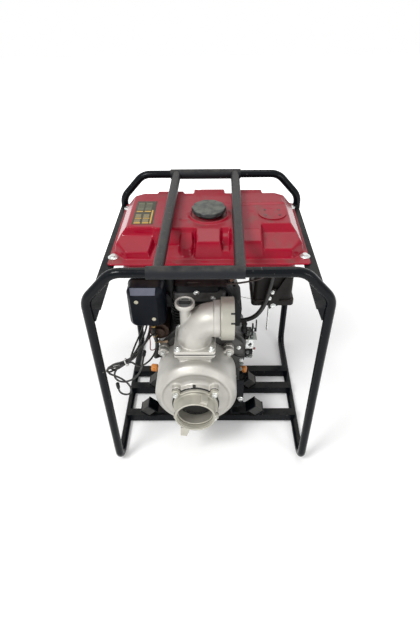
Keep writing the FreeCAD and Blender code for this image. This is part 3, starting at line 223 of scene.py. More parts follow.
def cast_alloy(name="cast_alloy", colour=(0.53, 0.515, 0.475)):
    paint = Paint(name, colour, 0.40, 0.6)
    blotch = paint.ramp(paint.noise(14, 5.0), 0.35, 0.7)
    paint.blend_colour(paint.times(blotch, 0.5), tuple(0.8 * c for c in colour))
    paint.mottle(48, 0.60, 0.74, 0.35, tuple(0.6 * c for c in colour), 6.0)
    paint.blend_colour(paint.times(paint.edges(0.515, 0.56), 0.5), tuple(1.35 * c for c in colour))
    paint.blend_rough(blotch, 0.56)
    paint.add_bump(1300, 0.28, 0.0003, 3.0)
    paint.add_bump(110, 0.10, 0.001, 3.0)
    return paint.material


def engine_alloy():
    paint = Paint("engine_alloy", (0.10, 0.10, 0.097), 0.45, 0.4)
    grime = paint.ramp(paint.noise(40, 6.0), 0.42, 0.66)
    paint.blend_colour(paint.times(grime, 0.6), (0.035, 0.032, 0.028))
    paint.blend_rough(grime, 0.65)
    paint.add_bump(900, 0.3, 0.0003, 3.0)
    return paint.material


def black_part(name, colour=(0.009, 0.0095, 0.011), roughness=0.4, dust=0.35, grain=0.1):
    """Black paint or plastic with a little dust and a fine grain."""
    paint = Paint(name, colour, roughness, Specular_IOR_Level=0.2)
    paint.blend_rough(paint.ramp(paint.noise(35), 0.35, 0.7), roughness + 0.14)
    paint.dust((0.11, 0.10, 0.088), dust, 40, 0.5, 0.95, 0.75)
    paint.add_bump(1000, grain, 0.0003, 2.0)
    return paint.material


def filter_plastic():
    paint = Paint("filter_plastic", (0.0025, 0.0042, 0.0078), 0.3, Specular_IOR_Level=0.1)
    paint.blend_rough(paint.ramp(paint.noise(50), 0.35, 0.7), 0.5)
    paint.dust((0.026, 0.020, 0.018), 0.9, 12, 0.85, 0.98, 0.6)
    paint.add_bump(1500, 0.12, 0.0002, 2.0)
    return paint.material


def rubber():
    paint = Paint("mount_rubber", (0.022, 0.023, 0.022), 0.6)
    paint.mottle(60, 0.4, 0.7, 0.6, (0.045, 0.042, 0.036), 5.0)
    paint.dust((0.11, 0.10, 0.085), 0.5, 55, 0.3, 0.9, 0.85)
    paint.add_bump(500, 0.35, 0.0005, 4.0)
    return paint.material


def zinc():
    paint = Paint("zinc_steel", (0.78, 0.80, 0.79), 0.25, 0.9)
    paint.mottle(90, 0.45, 0.7, 0.4, (0.42, 0.42, 0.36), 4.0)
    paint.blend_rough(paint.ramp(paint.noise(160, 4.0), 0.4, 0.7), 0.42)
    paint.add_bump(1200, 0.1, 0.0002)
    return paint.material


def brown_steel():
    paint = Paint("exhaust_steel", (0.23, 0.14, 0.09), 0.5, 0.7)
    paint.mottle(70, 0.4, 0.68, 1.0, (0.10, 0.055, 0.035), 5.0)
    paint.add_bump(400, 0.3, 0.0005, 5.0)
    return paint.material


def starter_brown():
    paint = Paint("starter_dark", (0.045, 0.027, 0.020), 0.4, 0.5)
    paint.mottle(240, 0.4, 0.6, 0.5, (0.11, 0.055, 0.03), 1.0, (1, 1, 4))
    return paint.material


def orange_plastic():
    paint = Paint("oil_cap_orange", (0.68, 0.24, 0.04), 0.45)
    paint.mottle(120, 0.45, 0.7, 0.5, (0.38, 0.14, 0.02), 5.0)
    paint.add_bump(700, 0.15, 0.0003)
    return paint.material


def plain(name, colour, roughness, grain=500, **sockets):
    """A small part's finish: one colour with uneven gloss and a fine grain."""
    paint = Paint(name, colour, roughness, **sockets)
    paint.mottle(80, 0.4, 0.7, 0.5, tuple(0.72 * c for c in colour), 4.0)
    paint.blend_rough(paint.ramp(paint.noise(130), 0.4, 0.7), min(1.0, roughness + 0.12))
    paint.add_bump(grain, 0.1, 0.0002)
    return paint.material


def dusty_cap():
    paint = Paint("cap_dusty", (0.018, 0.021, 0.022), 0.45)
    paint.dust((0.125, 0.13, 0.112), 0.95, 60, 0.6, 0.97, 0.8)
    paint.add_bump(450, 0.25, 0.0004, 4.0)
    return paint.material


FRAME_BLACK = frame_black()
BAR_BLACK = bar_black()
TANK_RED = tank_red()
CAST = cast_alloy()
CAST_DARK = cast_alloy("cast_alloy_greened", (0.46, 0.445, 0.385))
ENGINE = engine_alloy()
ENGINE_BLACK = black_part("engine_black")
SLEEVE = black_part("sleeve_rubber", (0.009, 0.0105, 0.013), 0.5, 0.35, 0.25)
MUFFLER = black_part("muffler_black", (0.012, 0.010, 0.009), 0.5, 0.6, 0.25)
CAP = black_part("cap_plastic", (0.018, 0.021, 0.020), 0.5, 0.0, 0.2)
FILTER = filter_plastic()
RUBBER = rubber()
ZINC = zinc()
BROWN = brown_steel()
STARTER = starter_brown()
ORANGE = orange_plastic()
TAN = plain("tan_lug", (0.55, 0.38, 0.24), 0.4)
BRASS = plain("brass_screw", (0.62, 0.58, 0.44), 0.35)
# A pale blue-grey used only to paint the highlight on the air cleaner cover's top bevel.
BEVEL_HIGHLIGHT = plain("filter_bevel_highlight", (0.085, 0.09, 0.125), 0.4)
DULL_ZINC = plain("dull_zinc", (0.26, 0.28, 0.265), 0.4, Metallic=0.5)
GASKET = plain("gasket_black", (0.012, 0.012, 0.012), 0.55)
HOSE = plain("hose_rubber", (0.011, 0.0105, 0.010), 0.4)
HOSE_BROWN = plain("hose_brown", (0.065, 0.052, 0.045), 0.5)
LEAD = plain("lead_sleeve", (0.022, 0.022, 0.020), 0.45)
TIE = plain("tie_nylon", (0.80, 0.80, 0.77), 0.45)
PLUG_GREY = plain("plug_grey", (0.12, 0.125, 0.12), 0.5)
LABEL_DARK = plain("label_dark", (0.045, 0.042, 0.026), 0.5)
LABEL_GREEN = plain("label_green", (0.12, 0.12, 0.075), 0.5)
LABEL_YELLOW = plain("label_yellow", (0.52, 0.31, 0.06), 0.5)
LABEL_CREAM = plain("label_cream", (0.36, 0.29, 0.15), 0.5)
WIRE_RED = plain("wire_red", (0.30, 0.05, 0.05), 0.45)
WIRE_YELLOW = plain("wire_yellow", (0.55, 0.36, 0.10), 0.45)
CAP_DUSTY = dusty_cap()

NODE_PAINT = {
    FRAME_BLACK: ["front_hoop", "rear_hoop", "skid_left", "skid_right", "side_rail_left",
                  "side_rail_right", "cross_member_front", "cross_member_middle",
                  "cross_member_rear", "engine_rail_left", "engine_rail_right",
                  "mount_lower_brackets", "mount_upper_brackets"],
    BAR_BLACK: ["carry_bar_left", "carry_bar_right"],
    SLEEVE: ["grip_sleeve_front", "grip_sleeve_rear"],
    RUBBER: ["rubber_mounts", "tank_pads"],
    CAST: ["pump_back_plate", "pump_casing", "suction_nozzle", "suction_lock_ring",
           "discharge_elbow", "discharge_ring"],
    GASKET: ["suction_gasket", "elbow_gasket"],
    PLUG_GREY: ["priming_plug"],
    ENGINE: ["crankcase", "crankcase_cover", "cylinder_head", "injection_pump"],
    ENGINE_BLACK: ["cylinder_barrel", "rocker_cover", "cylinder_cowl", "fan_housing",
                   "recoil_cover", "intake_duct", "speed_lever"],
    CAP: ["recoil_handle", "lead_plugs"],
    CAP_DUSTY: ["fuel_cap"],
    STARTER: ["starter_motor"],
    ORANGE: ["oil_caps"],
    ZINC: ["control_bracket"],
    FILTER: ["air_cleaner_cover", "air_cleaner_body"],
    MUFFLER: ["muffler", "muffler_hangers"],
    BROWN: ["exhaust_pipe"],
    HOSE: ["fuel_hose"],
    HOSE_BROWN: ["return_line"],
    LEAD: ["wiring_harness", "lead_a", "lead_b"],
    TANK_RED: ["tank_upper_shell", "tank_lower_shell", "filler_neck", "gauge_cover"],
}

for material, names in NODE_PAINT.items():
    for name in names:
        mesh = NODES[name].data
        mesh.materials.clear()
        mesh.materials.append(material)


# Mesh helpers


def mesh_from(name, bm):
    """A mesh made of a bmesh, which is freed."""
    mesh = bpy.data.meshes.new(name)
    bm.to_mesh(mesh)
    bm.free()
    return mesh


def new_object(name, data):
    obj = bpy.data.objects.new(name, data)
    bpy.context.scene.collection.objects.link(obj)
    return obj


def piece(name, bm, material, smooth=True, body=BODY, sharp=35.0):
    """A finished mesh object from a bmesh, with its material, riding on a body."""
    bmesh.ops.recalc_face_normals(bm, faces=bm.faces)
    mesh = mesh_from(name, bm)
    obj = new_object(name, mesh)
    mesh.materials.append(material)
    if smooth:
        mesh.shade_smooth()
        mesh.set_sharp_from_angle(angle=math.radians(sharp))
    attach(obj, body)
    return obj


def basis(direction, spin=0.0):
    """A rotation whose Z axis is the direction."""
    turn = Vector((0, 0, 1)).rotation_difference(Vector(direction).normalized()).to_matrix()
    return turn.to_4x4() @ Matrix.Rotation(spin, 4, "Z")


def join_rings(bm, rings, capped=True):
    """Walls between rings of equally many points, and a lid on each end if capped."""
    for low, high in zip(rings, rings[1:]):
        for i in range(len(low)):
            j = (i + 1) % len(low)
            bm.faces.new((low[i], low[j], high[j], high[i]))
    if capped:
        bm.faces.new(rings[0])
        bm.faces.new(rings[-1])


def lathe(bm, profile, place, direction=UP, segments=32, spin=0.0, shape=None, capped=True):
    """Turns (radius, height) points in millimetres round an axis; shape may bend the radius."""
    matrix = Matrix.Translation(place) @ basis(direction, spin)
    rings = []
    for radius, height in profile:
        ring = []
        for i in range(segments):
            angle = 2 * math.pi * i / segments
            reach = radius * (shape(angle) if shape else 1.0)
            spot = Vector((reach * math.cos(angle), reach * math.sin(angle), height)) * MM
            ring.append(bm.verts.new(matrix @ spot))
        rings.append(ring)
    join_rings(bm, rings, capped)


def hollow_ring(bm, profile, place, direction, segments):
    """A ring with an open middle, from a closed outline of (radius, height) points."""
    lathe(bm, profile + profile[:1], place, direction, segments, capped=False)


def hex_head(bm, place, direction, across=13.0, height=5.3, washer=8.5, spin=0.0):
    """A flanged or washered hexagon head that sits on place and points along direction."""
    if washer:
        lathe(bm, [(washer - 0.4, 0), (washer, 0.4), (washer, 1.2), (washer - 0.5, 1.6)], place,
              direction, 24)
    base = 1.6 if washer else 0.0
    corner = across / math.sqrt(3)

    def hexagon(angle):
        part = (angle + math.pi / 6) % (math.pi / 3) - math.pi / 6
        return math.cos(math.pi / 6) / math.cos(part)

    lathe(bm, [(corner, base), (corner, base + height - 0.9)], place, direction, 36, spin, hexagon)
    top = base + height - 0.9
    flat = across / 2
    lathe(bm, [(flat, top - 0.05), (flat * 0.97, top + 0.55), (flat * 0.8, top + 0.85),
               (flat * 0.5, top + 0.9)], place, direction, 36)


def domed_screw(bm, place, direction, radius=6.0, height=3.6, washer=0.0):
    """A round screw head with a small hexagon on top, over a washer if it has one."""
    if washer:
        lathe(bm, [(washer - 0.3, 0), (washer, 0.3), (washer, 1.0), (washer - 0.5, 1.3)], place,
              direction, 28)
    base = 1.3 if washer else 0.0
    profile = [(radius, base)]
    for step in range(1, 6):
        angle = math.pi / 2 * step / 6
        profile.append((radius * math.cos(angle), base + 0.6 + height * math.sin(angle) * 0.8))
    lathe(bm, profile, place, direction, 24)
    lathe(bm, [(radius * 0.32, base + height * 0.4), (radius * 0.30, base + height * 0.9)], place,
          direction, 6)


def box_piece(bm, low, high, bevel=0.6, turn=(0, 0, 0)):
    """A bevelled box between two corners in millimetres, turned about its own middle."""
    part = bmesh.new()
    size = (Vector(high) - Vector(low)) * MM
    bmesh.ops.create_cube(part, size=1.0)
    bmesh.ops.scale(part, verts=part.verts, vec=size)
    if bevel:
        bmesh.ops.bevel(part, geom=part.edges[:], offset=bevel * MM, segments=2,
                        affect="EDGES", profile=0.5)
    middle = (Vector(low) + Vector(high)) / 2 * MM
    rotation = Euler([math.radians(angle) for angle in turn]).to_matrix().to_4x4()
    part.transform(Matrix.Translation(middle) @ rotation)
    merge(bm, part)


def merge(bm, part):
    """Adds the faces of part to bm and frees part."""
    mesh = mesh_from("part", part)
    bm.from_mesh(mesh)
    bpy.data.meshes.remove(mesh)


def four_ways(across, along):
    """The four points that mirror one point about both axes."""
    return [(a, b) for a in (-across, across) for b in (-along, along)]


def rounded_ring(width, height, radius, steps=6):
    """Points of a rounded rectangle about the origin, anticlockwise."""
    spots = []
    for quarter, (sx, sy) in enumerate(((1, 1), (-1, 1), (-1, -1), (1, -1))):
        middle = Vector((sx * (width / 2 - radius), sy * (height / 2 - radius)))
        for step in range(steps + 1):
            angle = math.pi / 2 * (quarter + step / steps)
            spots.append(middle + radius * Vector((math.cos(angle), math.sin(angle))))
    return spots


def ring_loft(bm, rings):
    """Joins upright rounded rectangles, each a width, a height, a radius and its middle."""
    loops = []
    for width, height, radius, (x, y, z) in rings:
        loops.append([bm.verts.new(at(x + spot.x, y, z + spot.y))
                      for spot in rounded_ring(width, height, radius)])
    join_rings(bm, loops)


def smooth_line(points, steps):
    """Points in millimetres on a smooth line through the given ones."""
    spots = [Vector(p) for p in points]
    ends = [2 * spots[0] - spots[1]] + spots + [2 * spots[-1] - spots[-2]]
    line = []
    for a, b, c, d in zip(ends, ends[1:], ends[2:], ends[3:]):
        for step in range(steps):
            s = step / steps
            line.append(0.5 * (2 * b + (c - a) * s + (2 * a - 5 * b + 4 * c - d) * s * s
                               + (3 * b - a - 3 * c + d) * s ** 3))
    return line + [spots[-1]]


def sweep(bm, points, radius, segments=14, steps=8):
    """A tube along a smooth line; radius is a number or a function of the run."""
    line = smooth_line(points, steps)
    normal = (line[1] - line[0]).orthogonal().normalized()
    rings = []
    run = 0.0
    for i, spot in enumerate(line):
        ahead = (line[min(i + 1, len(line) - 1)] - line[max(i - 1, 0)]).normalized()
        normal = (normal - ahead * normal.dot(ahead)).normalized()
        side = ahead.cross(normal)
        run += (spot - line[i - 1]).length if i else 0.0
        reach = radius(run) if callable(radius) else radius
        rings.append([bm.verts.new((spot + (normal * math.cos(turn) + side * math.sin(turn))
                                    * reach) * MM)
                      for turn in (2 * math.pi * k / segments for k in range(segments))])
    join_rings(bm, rings)


def tube(name, material, points, radius, segments=14, steps=8):
    """A piece that is one tube along a smooth line."""
    bm = bmesh.new()
    sweep(bm, points, radius, segments, steps)
    return piece(name, bm, material)


def prism(bm, outline, low, high, upright=False):
    """An outline pushed from low to high along Z, or along Y from the plane XZ if upright."""
    rings = []
    for level in (low, high):
        rings.append([bm.verts.new(at(a, level, b) if upright else at(a, b, level))
                      for a, b in outline])
    join_rings(bm, rings)


def cast_copy(name, node, voxel, rounds, material):
    """A copy of a solid with its edges softened, as sand casting leaves them."""
    obj = new_object(name, NODES[node].data.copy())
    weld = obj.modifiers.new("weld", "WELD")
    weld.merge_threshold = 0.00002
    remesh = obj.modifiers.new("remesh", "REMESH")
    remesh.mode = "VOXEL"
    remesh.voxel_size = voxel * MM
    smooth = obj.modifiers.new("smooth", "SMOOTH")
    smooth.factor = 0.5
    smooth.iterations = rounds
    graph = bpy.context.evaluated_depsgraph_get()
    mesh = bpy.data.meshes.new_from_object(obj.evaluated_get(graph))
    bpy.data.objects.remove(obj)
    obj = new_object(name, mesh)
    mesh.materials.clear()
    mesh.materials.append(material)
    mesh.shade_smooth()
    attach(obj, BODY)
    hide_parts(node)


# Camera and light

# Name, place and aim in metres, size in metres, power in watts
LAMPS = [("key", (-1.1, -1.3, 2.3), (0, 0, 0.3), 0.8, 42),
         ("fill", (1.6, -2.0, 1.2), (0, 0, 0.3), 0.8, 13),
         ("top", (0.2, 0.3, 2.9), (0, 0, 0.4), 1.0, 9)]


def make_camera():
    """The photograph's camera, solved from the frame's tubes."""
    place = at(14, -1034, 1188)
    pitch, yaw, roll = 0.6833, 0.0134, -0.0128  # pitch is how far it looks down
    data = bpy.data.cameras.new("camera")
    data.sensor_width = 36
    data.lens = 26.0
    data.clip_start = 0.05
    data.clip_end = 50
    camera = new_object("camera", data)
    turn = Matrix.Rotation(yaw, 4, "Z") @ Matrix.Rotation(math.pi / 2 - pitch, 4, "X")
    camera.matrix_world = Matrix.Translation(place) @ turn @ Matrix.Rotation(roll, 4, "Z")
    bpy.context.scene.camera = camera


def area_light(name, place, aim, size, power):
    data = bpy.data.lights.new(name, "AREA")
    data.shape = "DISK"
    data.size = size
    data.energy = power
    light = new_object(name, data)
    light.location = place
    light.rotation_mode = "QUATERNION"
    light.rotation_quaternion = (Vector(aim) - Vector(place)).to_track_quat("-Z", "Y")


def direct_rays(tree):
    """1 for rays from the camera, off glossy faces and through clear ones, 0 for the others."""
    seen = tree.nodes.new("ShaderNodeLightPath").outputs
    total = combined(tree, "MAXIMUM", seen["Is Camera Ray"], seen["Is Glossy Ray"])
    return combined(tree, "MAXIMUM", total, seen["Is Transmission Ray"])


def make_world():
    """White to see and in reflections; the light itself comes from above and from the front."""
    world = bpy.data.worlds.new("studio")
    bpy.context.scene.world = world
    world.use_nodes = True
    tree = world.node_tree
    background = tree.nodes["Background"]
    fill(background, Color=(1, 1, 1, 1))
    split = tree.nodes.new("ShaderNodeSeparateXYZ")
    direction = tree.nodes.new("ShaderNodeTexCoord")
    tree.links.new(direction.outputs["Generated"], split.inputs[0])
    above = ranged(tree, split.outputs["Z"], 0.35, 0.95, 0.13, 0.85)
    front = ranged(tree, split.outputs["Y"], -0.25, -0.9, 0.0, 0.34)
    light = combined(tree, "ADD", above, front)
    tree.links.new(combined(tree, "MAXIMUM", direct_rays(tree), light),
                   background.inputs["Strength"])


def make_floor():
    """A wide pale floor that keeps the soft shadow and turns white away from the object."""
    bm = bmesh.new()
    bmesh.ops.create_grid(bm, x_segments=1, y_segments=1, size=6.0)
    mesh = mesh_from("floor", bm)
    floor = new_object("floor", mesh)
    material = bpy.data.materials.new("floor_white")
    material.use_nodes = True
    tree = material.node_tree
    shader = tree.nodes["Principled BSDF"]
    fill(shader, Base_Color=(0.86, 0.86, 0.86, 1), Roughness=0.9, Specular_IOR_Level=0.1,
         Emission_Color=(1, 1, 1, 1))
    spread = tree.nodes.new("ShaderNodeVectorMath")
    spread.operation = "LENGTH"
    tree.links.new(tree.nodes.new("ShaderNodeNewGeometry").outputs["Position"], spread.inputs[0])
    fade = ranged(tree, spread.outputs["Value"], 0.45, 1.5, 0.16, 1.0)
    tree.links.new(combined(tree, "MULTIPLY", direct_rays(tree), fade),
                   shader.inputs["Emission Strength"])
    mesh.materials.append(material)


def make_studio():
    make_camera()
    make_world()
    make_floor()
    for lamp in LAMPS:
        area_light(*lamp)
    bpy.context.scene.view_settings.view_transform = "Standard"


make_studio()


# Frame rails


def make_side_rail(side):
    """An angle bar, and the gusset under its front end that meets the leg."""
    top, outer, inner = 574.0, 268.0, 235.0
    name = "left" if side < 0 else "right"
    bm = bmesh.new()

    def plate(outline, low, high, upright=False):
        prism(bm, [(side * x, other) for x, other in outline], low, high, upright)

    plate([(outer, -258), (inner, -258), (inner, 258), (outer, 258)], top - 3, top)
    plate([(outer, -258), (outer - 3, -258), (outer - 3, 258), (outer, 258)], top - 14, top - 3)
    plate([(outer, top - 3), (237.5, top - 3), (251.1, 537.8), (outer, 537.8)], -256, -253,
          upright=True)
    rail = piece("rail_" + name, bm, FRAME_BLACK)
    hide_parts("side_rail_" + name)


make_side_rail(-1)
make_side_rail(1)


# Fuel tank

FLANGE_TOP = 581.0
TANK_X = 250.0
TANK_FRONT = -90.0
TANK_BACK = 246.0
TANK_CORNER = 9.0
CORE_X = TANK_X - TANK_CORNER
CORE_Y = (TANK_FRONT + TANK_CORNER, TANK_BACK - TANK_CORNER)
SIDE_FOOT = 240.0
FRONT_FOOT = -67.0
REAR_FOOT = 218.0
PLATEAU = 61.0
GRID_STEP = 1.6
BOLT_X = 240
BOLT_ROWS = (-58, 214)
WALL_RUN = 4.5
CAP_Y = 50
DISH_RADIUS = 48.5

# Rise per millimetre inward, and the depth and height where the side slope starts
WALL_RISE = 6.3
FRONT_RISE = 13
SIDE_RISE = 1.28
SIDE_START = (3.65, 23)

FOOT_RIGHT = [(SIDE_FOOT - 32, FRONT_FOOT), (SIDE_FOOT, FRONT_FOOT + 32),
              (SIDE_FOOT, REAR_FOOT - 32), (SIDE_FOOT - 45, REAR_FOOT)]
FOOTPRINT = FOOT_RIGHT + [(-x, y) for x, y in reversed(FOOT_RIGHT)]

# Right end of each stretch of the front, and its side line as (y, rise above the flange)
FRONT_STEPS = [
    (-143, [(-90, 5), (-17, 40), (-11, 70)]),
    (-34, [(-90, -4), (-67, 3), (-25, 16), (-17, 70)]),
    (31, [(-90, 33), (-24, 60), (-20, 70)]),
    (54, [(-90, 19), (-60, 20), (-44, 22), (-34, 43), (-22, 48), (-12, 70)]),
    (133, [(-90, 34), (-28, 60), (-24, 70)]),
    (260, [(-90, 16), (-8, 41), (-4, 50), (1, 55), (4, 70)]),
]
REAR_BLOCKS = [(-156, -62, 210), (-54, 54, 222), (72, 160, 218)]


def inside(corners, x, y):
    """How far points lie inside a convex outline given anticlockwise, in millimetres."""
    best = np.full_like(x, 1e6)
    for (ax, ay), (bx, by) in zip(corners, corners[1:] + corners[:1]):
        length = math.hypot(bx - ax, by - ay)
        best = np.minimum(best, ((bx - ax) * (y - ay) - (by - ay) * (x - ax)) / length)
    return best


def rectangle(left, right, front, back):
    return [(left, front), (right, front), (right, back), (left, back)]


def ease(share):
    share = np.clip(share, 0, 1)
    return share * share * (3 - 2 * share)


def front_limit(x, y):
    """The height that the steps at the front leave."""
    limit = None
    edge = None
    for right, line in FRONT_STEPS:
        here = np.interp(y, [spot[0] for spot in line], [spot[1] for spot in line])
        if limit is None:
            limit = here
            edge = right + 0.24 * (np.clip(y, -66, 0) + 40)
        else:
            limit = limit + (here - limit) * ease((x - edge) / WALL_RUN + 0.5)
            edge = right
    return limit


def pressed_height(x, y):
    """Height of the pressed top above its flange, with sharp edges."""
    depth = inside(FOOTPRINT, x, y)
    steep = depth * WALL_RISE
    sloping = SIDE_START[1] + (depth - SIDE_START[0]) * SIDE_RISE
    height = np.minimum(np.minimum(steep, np.maximum(sloping, 0)), PLATEAU)
    front = np.minimum(inside(rectangle(-34, 137, FRONT_FOOT, 0), x, y) * FRONT_RISE, PLATEAU)
    height = np.minimum(np.maximum(height, front), front_limit(x, y))
    # A round-nosed ramp left of the middle
    reach = 21.5 - np.hypot(x + 55.5, y - np.clip(y, -42, 20))
    ramp = np.clip(22 + (y + 58) * 0.78, 6, 57)
    height = np.maximum(height, np.minimum(reach * 7.5, ramp))
    for left, right, back in REAR_BLOCKS:
        part = inside(rectangle(left, right, 130, back), x, y) * WALL_RISE
        height = np.maximum(height, np.minimum(part, PLATEAU))
    # A shallow raised panel on the plateau
    panel = inside([(60, 104), (205, 112), (200, 150), (184, 176), (60, 176)], x, y)
    height = height + np.clip(panel * 1.1, 0, 4) * (height > 55)
    return np.maximum(height, 0)


def plateau_relief(x, y):
    """Shallow marks pressed into the plateau."""
    past = np.hypot(x, y - CAP_Y) - DISH_RADIUS
    relief = 7.5 * ease(1 - past / 7) * ease(1 + past / 2.5)
    relief += 2.0 * ease(1.6 - np.hypot((x + 62) / 9, (y - 24) / 6))
    relief -= 1.2 * ease(1.5 - np.abs(x + 30) / 5) * ease((y - 110) / 10)
    return relief


def soften(height):
    """Rounds the edges, as the press leaves them."""
    kernel = np.array([0.10, 0.22, 0.36, 0.22, 0.10])
    for axis in (0, 1):
        height = np.apply_along_axis(
            lambda row: np.convolve(np.pad(row, 2, mode="edge"), kernel, mode="valid"), axis,
            height)
    return height


def make_tank_top():
    columns = int(round(2 * TANK_X / GRID_STEP)) + 1
    rows = int(round((TANK_BACK - TANK_FRONT) / GRID_STEP)) + 1
    x, y = np.meshgrid(np.linspace(-TANK_X, TANK_X, columns),
                       np.linspace(TANK_FRONT, TANK_BACK, rows))
    height = pressed_height(x, y)
    height += plateau_relief(x, y) * (height > PLATEAU - 2)
    height = soften(height)
    inner_x = np.clip(x, -CORE_X, CORE_X)
    inner_y = np.clip(y, *CORE_Y)
    gap = np.hypot(x - inner_x, y - inner_y)
    outside = gap > TANK_CORNER
    pull = np.where(outside, TANK_CORNER / np.maximum(gap, 1e-6), 1.0)
    x = inner_x + (x - inner_x) * pull
    y = inner_y + (y - inner_y) * pull
    bm = bmesh.new()
    grid = [[bm.verts.new(at(x[r, c], y[r, c], FLANGE_TOP + height[r, c]))
             for c in range(columns)] for r in range(rows)]
    for r in range(rows - 1):
        for c in range(columns - 1):
            if not outside[r:r + 2, c:c + 2].all():
                bm.faces.new((grid[r][c], grid[r][c + 1], grid[r + 1][c + 1], grid[r + 1][c]))
    loose = [vert for vert in bm.verts if not vert.link_faces]
    bmesh.ops.delete(bm, geom=loose, context="VERTS")
    add_rolled_edge(bm)
    top = piece("tank_top_pressing", bm, TANK_RED, sharp=180)
    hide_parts("tank_upper_shell")


def add_rolled_edge(bm):
    """Folds the flange's border down and in, so that the sheet has a rim."""
    for out, drop in ((1.0, 0.8), (1.2, 2.2), (0.4, 3.4), (-5.0, 3.6)):
        border = [edge for edge in bm.edges if edge.is_boundary]
        made = bmesh.ops.extrude_edge_only(bm, edges=border)["geom"]
        for vert in made:
            if isinstance(vert, bmesh.types.BMVert):
                away = outward(vert.co.x / MM, vert.co.y / MM)
                vert.co.x += away.x * out * MM * 0.5
                vert.co.y += away.y * out * MM * 0.5
                vert.co.z = (FLANGE_TOP - drop) * MM


def outward(x, y):
    """The direction out of the flange's border at a point near it."""
    gap = Vector((x - min(max(x, -CORE_X), CORE_X), y - min(max(y, CORE_Y[0]), CORE_Y[1])))
    return gap.normalized() if gap.length > 0 else Vector((0, 0))


def make_tank_fittings():
    """The four hold-down bolts with wide washers, and the gauge's screws."""
    bm = bmesh.new()
    for x in (-BOLT_X, BOLT_X):
        for y in BOLT_ROWS:
            spot = at(x, y, FLANGE_TOP)
            lathe(bm, [(12.4, 0), (13.2, 0.5), (13.2, 1.8), (12.6, 2.2)], spot, segments=36)
            lathe(bm, [(9.6, 2.2), (9.6, 2.8), (8.4, 3.8)], spot, segments=24)
            hex_head(bm, at(x, y, FLANGE_TOP + 3.4), UP, 12.5, 4.6, 0, 0.3)
    piece("tank_bolts", bm, ZINC)

    low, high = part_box("gauge_cover")
    middle = (low + high) / 2
    bm = bmesh.new()
    for x, y in four_ways(18, 15):
        spot = Vector((middle.x + x * MM, middle.y + y * MM, high.z))
        domed_screw(bm, spot, UP, 3.0, 1.8)
    piece("gauge_screws", bm, ENGINE)


def make_label():
    """A dark plate with green, yellow and cream blocks in place of the printed one, no words."""
    left, right, front, back = -196.0, -142.0, 0.0, 132.0
    height = FLANGE_TOP + PLATEAU + 0.5
    bm = bmesh.new()
    box_piece(bm, (left, front, height - 0.4), (right, back, height), 0.15)
    piece("label_plate", bm, LABEL_DARK)

    def blocks(name, rows, material, width):
        bm = bmesh.new()
        for column in range(2):
            x = left + 5 + column * 21
            for y, depth in rows:
                box_piece(bm, (x, front + y, height), (x + width, front + y + depth,
                                                       height + 0.12), 0.0)
        piece(name, bm, material)

    blocks("label_heads", ((4, 7), (30, 4), (68, 6)), LABEL_YELLOW, 16.5)
    blocks("label_rows", ((13, 2.4), (18, 2.4), (23, 2.4), (37, 2.4), (42, 2.4), (47, 2.4),
                          (52, 2.4)), LABEL_CREAM, 14.5)
    blocks("label_panels", ((80, 15), (100, 6), (111, 12)), LABEL_GREEN, 16.5)
    bm = bmesh.new()
    box_piece(bm, (right - 9, front + 4, height), (right - 5, front + 78, height + 0.12), 0.0)
    piece("label_strip", bm, LABEL_YELLOW)


def make_cap():
    """A low knob with ten scallops over a narrower skirt."""
    low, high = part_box("fuel_cap")
    spot = Vector(((low.x + high.x) / 2, (low.y + high.y) / 2, low.z))

    def scallop(angle):
        return 1 - 0.045 * (0.5 - 0.5 * math.cos(10 * angle)) ** 1.4

    bm = bmesh.new()
    lathe(bm, [(37, 0.3), (38, 1.0), (38, 4.0), (43, 6.0), (44, 8.0)], spot, segments=120)
    profile = [(43, 7.0), (44.4, 8.4), (44.4, 14.0), (43.6, 15.8), (42, 16.8), (39.5, 17.2)]
    lathe(bm, profile, spot, segments=160, shape=scallop)
    lathe(bm, [(39.6, 16.9), (36, 17.3), (34, 17.1), (20, 17.5), (4, 17.9)], spot, segments=96)
    cap = piece("cap_knob", bm, CAP_DUSTY, body="fuel_cap")
    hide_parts("fuel_cap")


make_cap()
make_tank_top()
make_tank_fittings()
make_label()


# Pump

# Voxel in millimetres and rounds of smoothing follow the node's name
cast_copy("casing_cast", "pump_casing", 2.0, 12, CAST)
cast_copy("elbow_cast", "discharge_elbow", 1.7, 4, CAST)
cast_copy("outlet_ring_cast", "discharge_ring", 1.5, 2, CAST_DARK)
cast_copy("nozzle_cast", "suction_nozzle", 1.4, 3, CAST_DARK)
cast_copy("lock_ring_cast", "suction_lock_ring", 1.1, 2, CAST_DARK)
cast_copy("back_plate_cast", "pump_back_plate", 2.0, 3, CAST)

SHAFT_X = -40.0
SHAFT_Z = 197.0
NOZZLE_FLANGE = -217.5
NOZZLE_BOLTS = (52, 49)
EAR_FACE = -90
EAR_BOLTS = (94, 82)
OUTLET_Y = -109
OUTLET_TOP = 351.5
OUTLET_BOLTS = 45
MOUTH_Y = -256.5


def make_pump_bolts():
    bm = bmesh.new()
    rows = ((NOZZLE_BOLTS, NOZZLE_FLANGE, (13, 6.5, 7.6), 0.1),
            (EAR_BOLTS, EAR_FACE, (12, 5.5, 7.4), 0.03))
    for (across, up), face, size, spin in rows:
        for x, z in four_ways(across, up):
            hex_head(bm, at(SHAFT_X + x, face, SHAFT_Z + z), FRONT, *size, x * spin)
    for x, y in four_ways(OUTLET_BOLTS, OUTLET_BOLTS):
        spot = at(SHAFT_X + x, OUTLET_Y + y, OUTLET_TOP)
        hex_head(bm, spot, UP, 14, 6.0, 8.5, x * 0.02 + y * 0.01)
        lathe(bm, [(4.0, 5.0), (4.0, 12.0), (3.2, 12.8)], spot, segments=16)
    piece("pump_bolts", bm, ZINC)


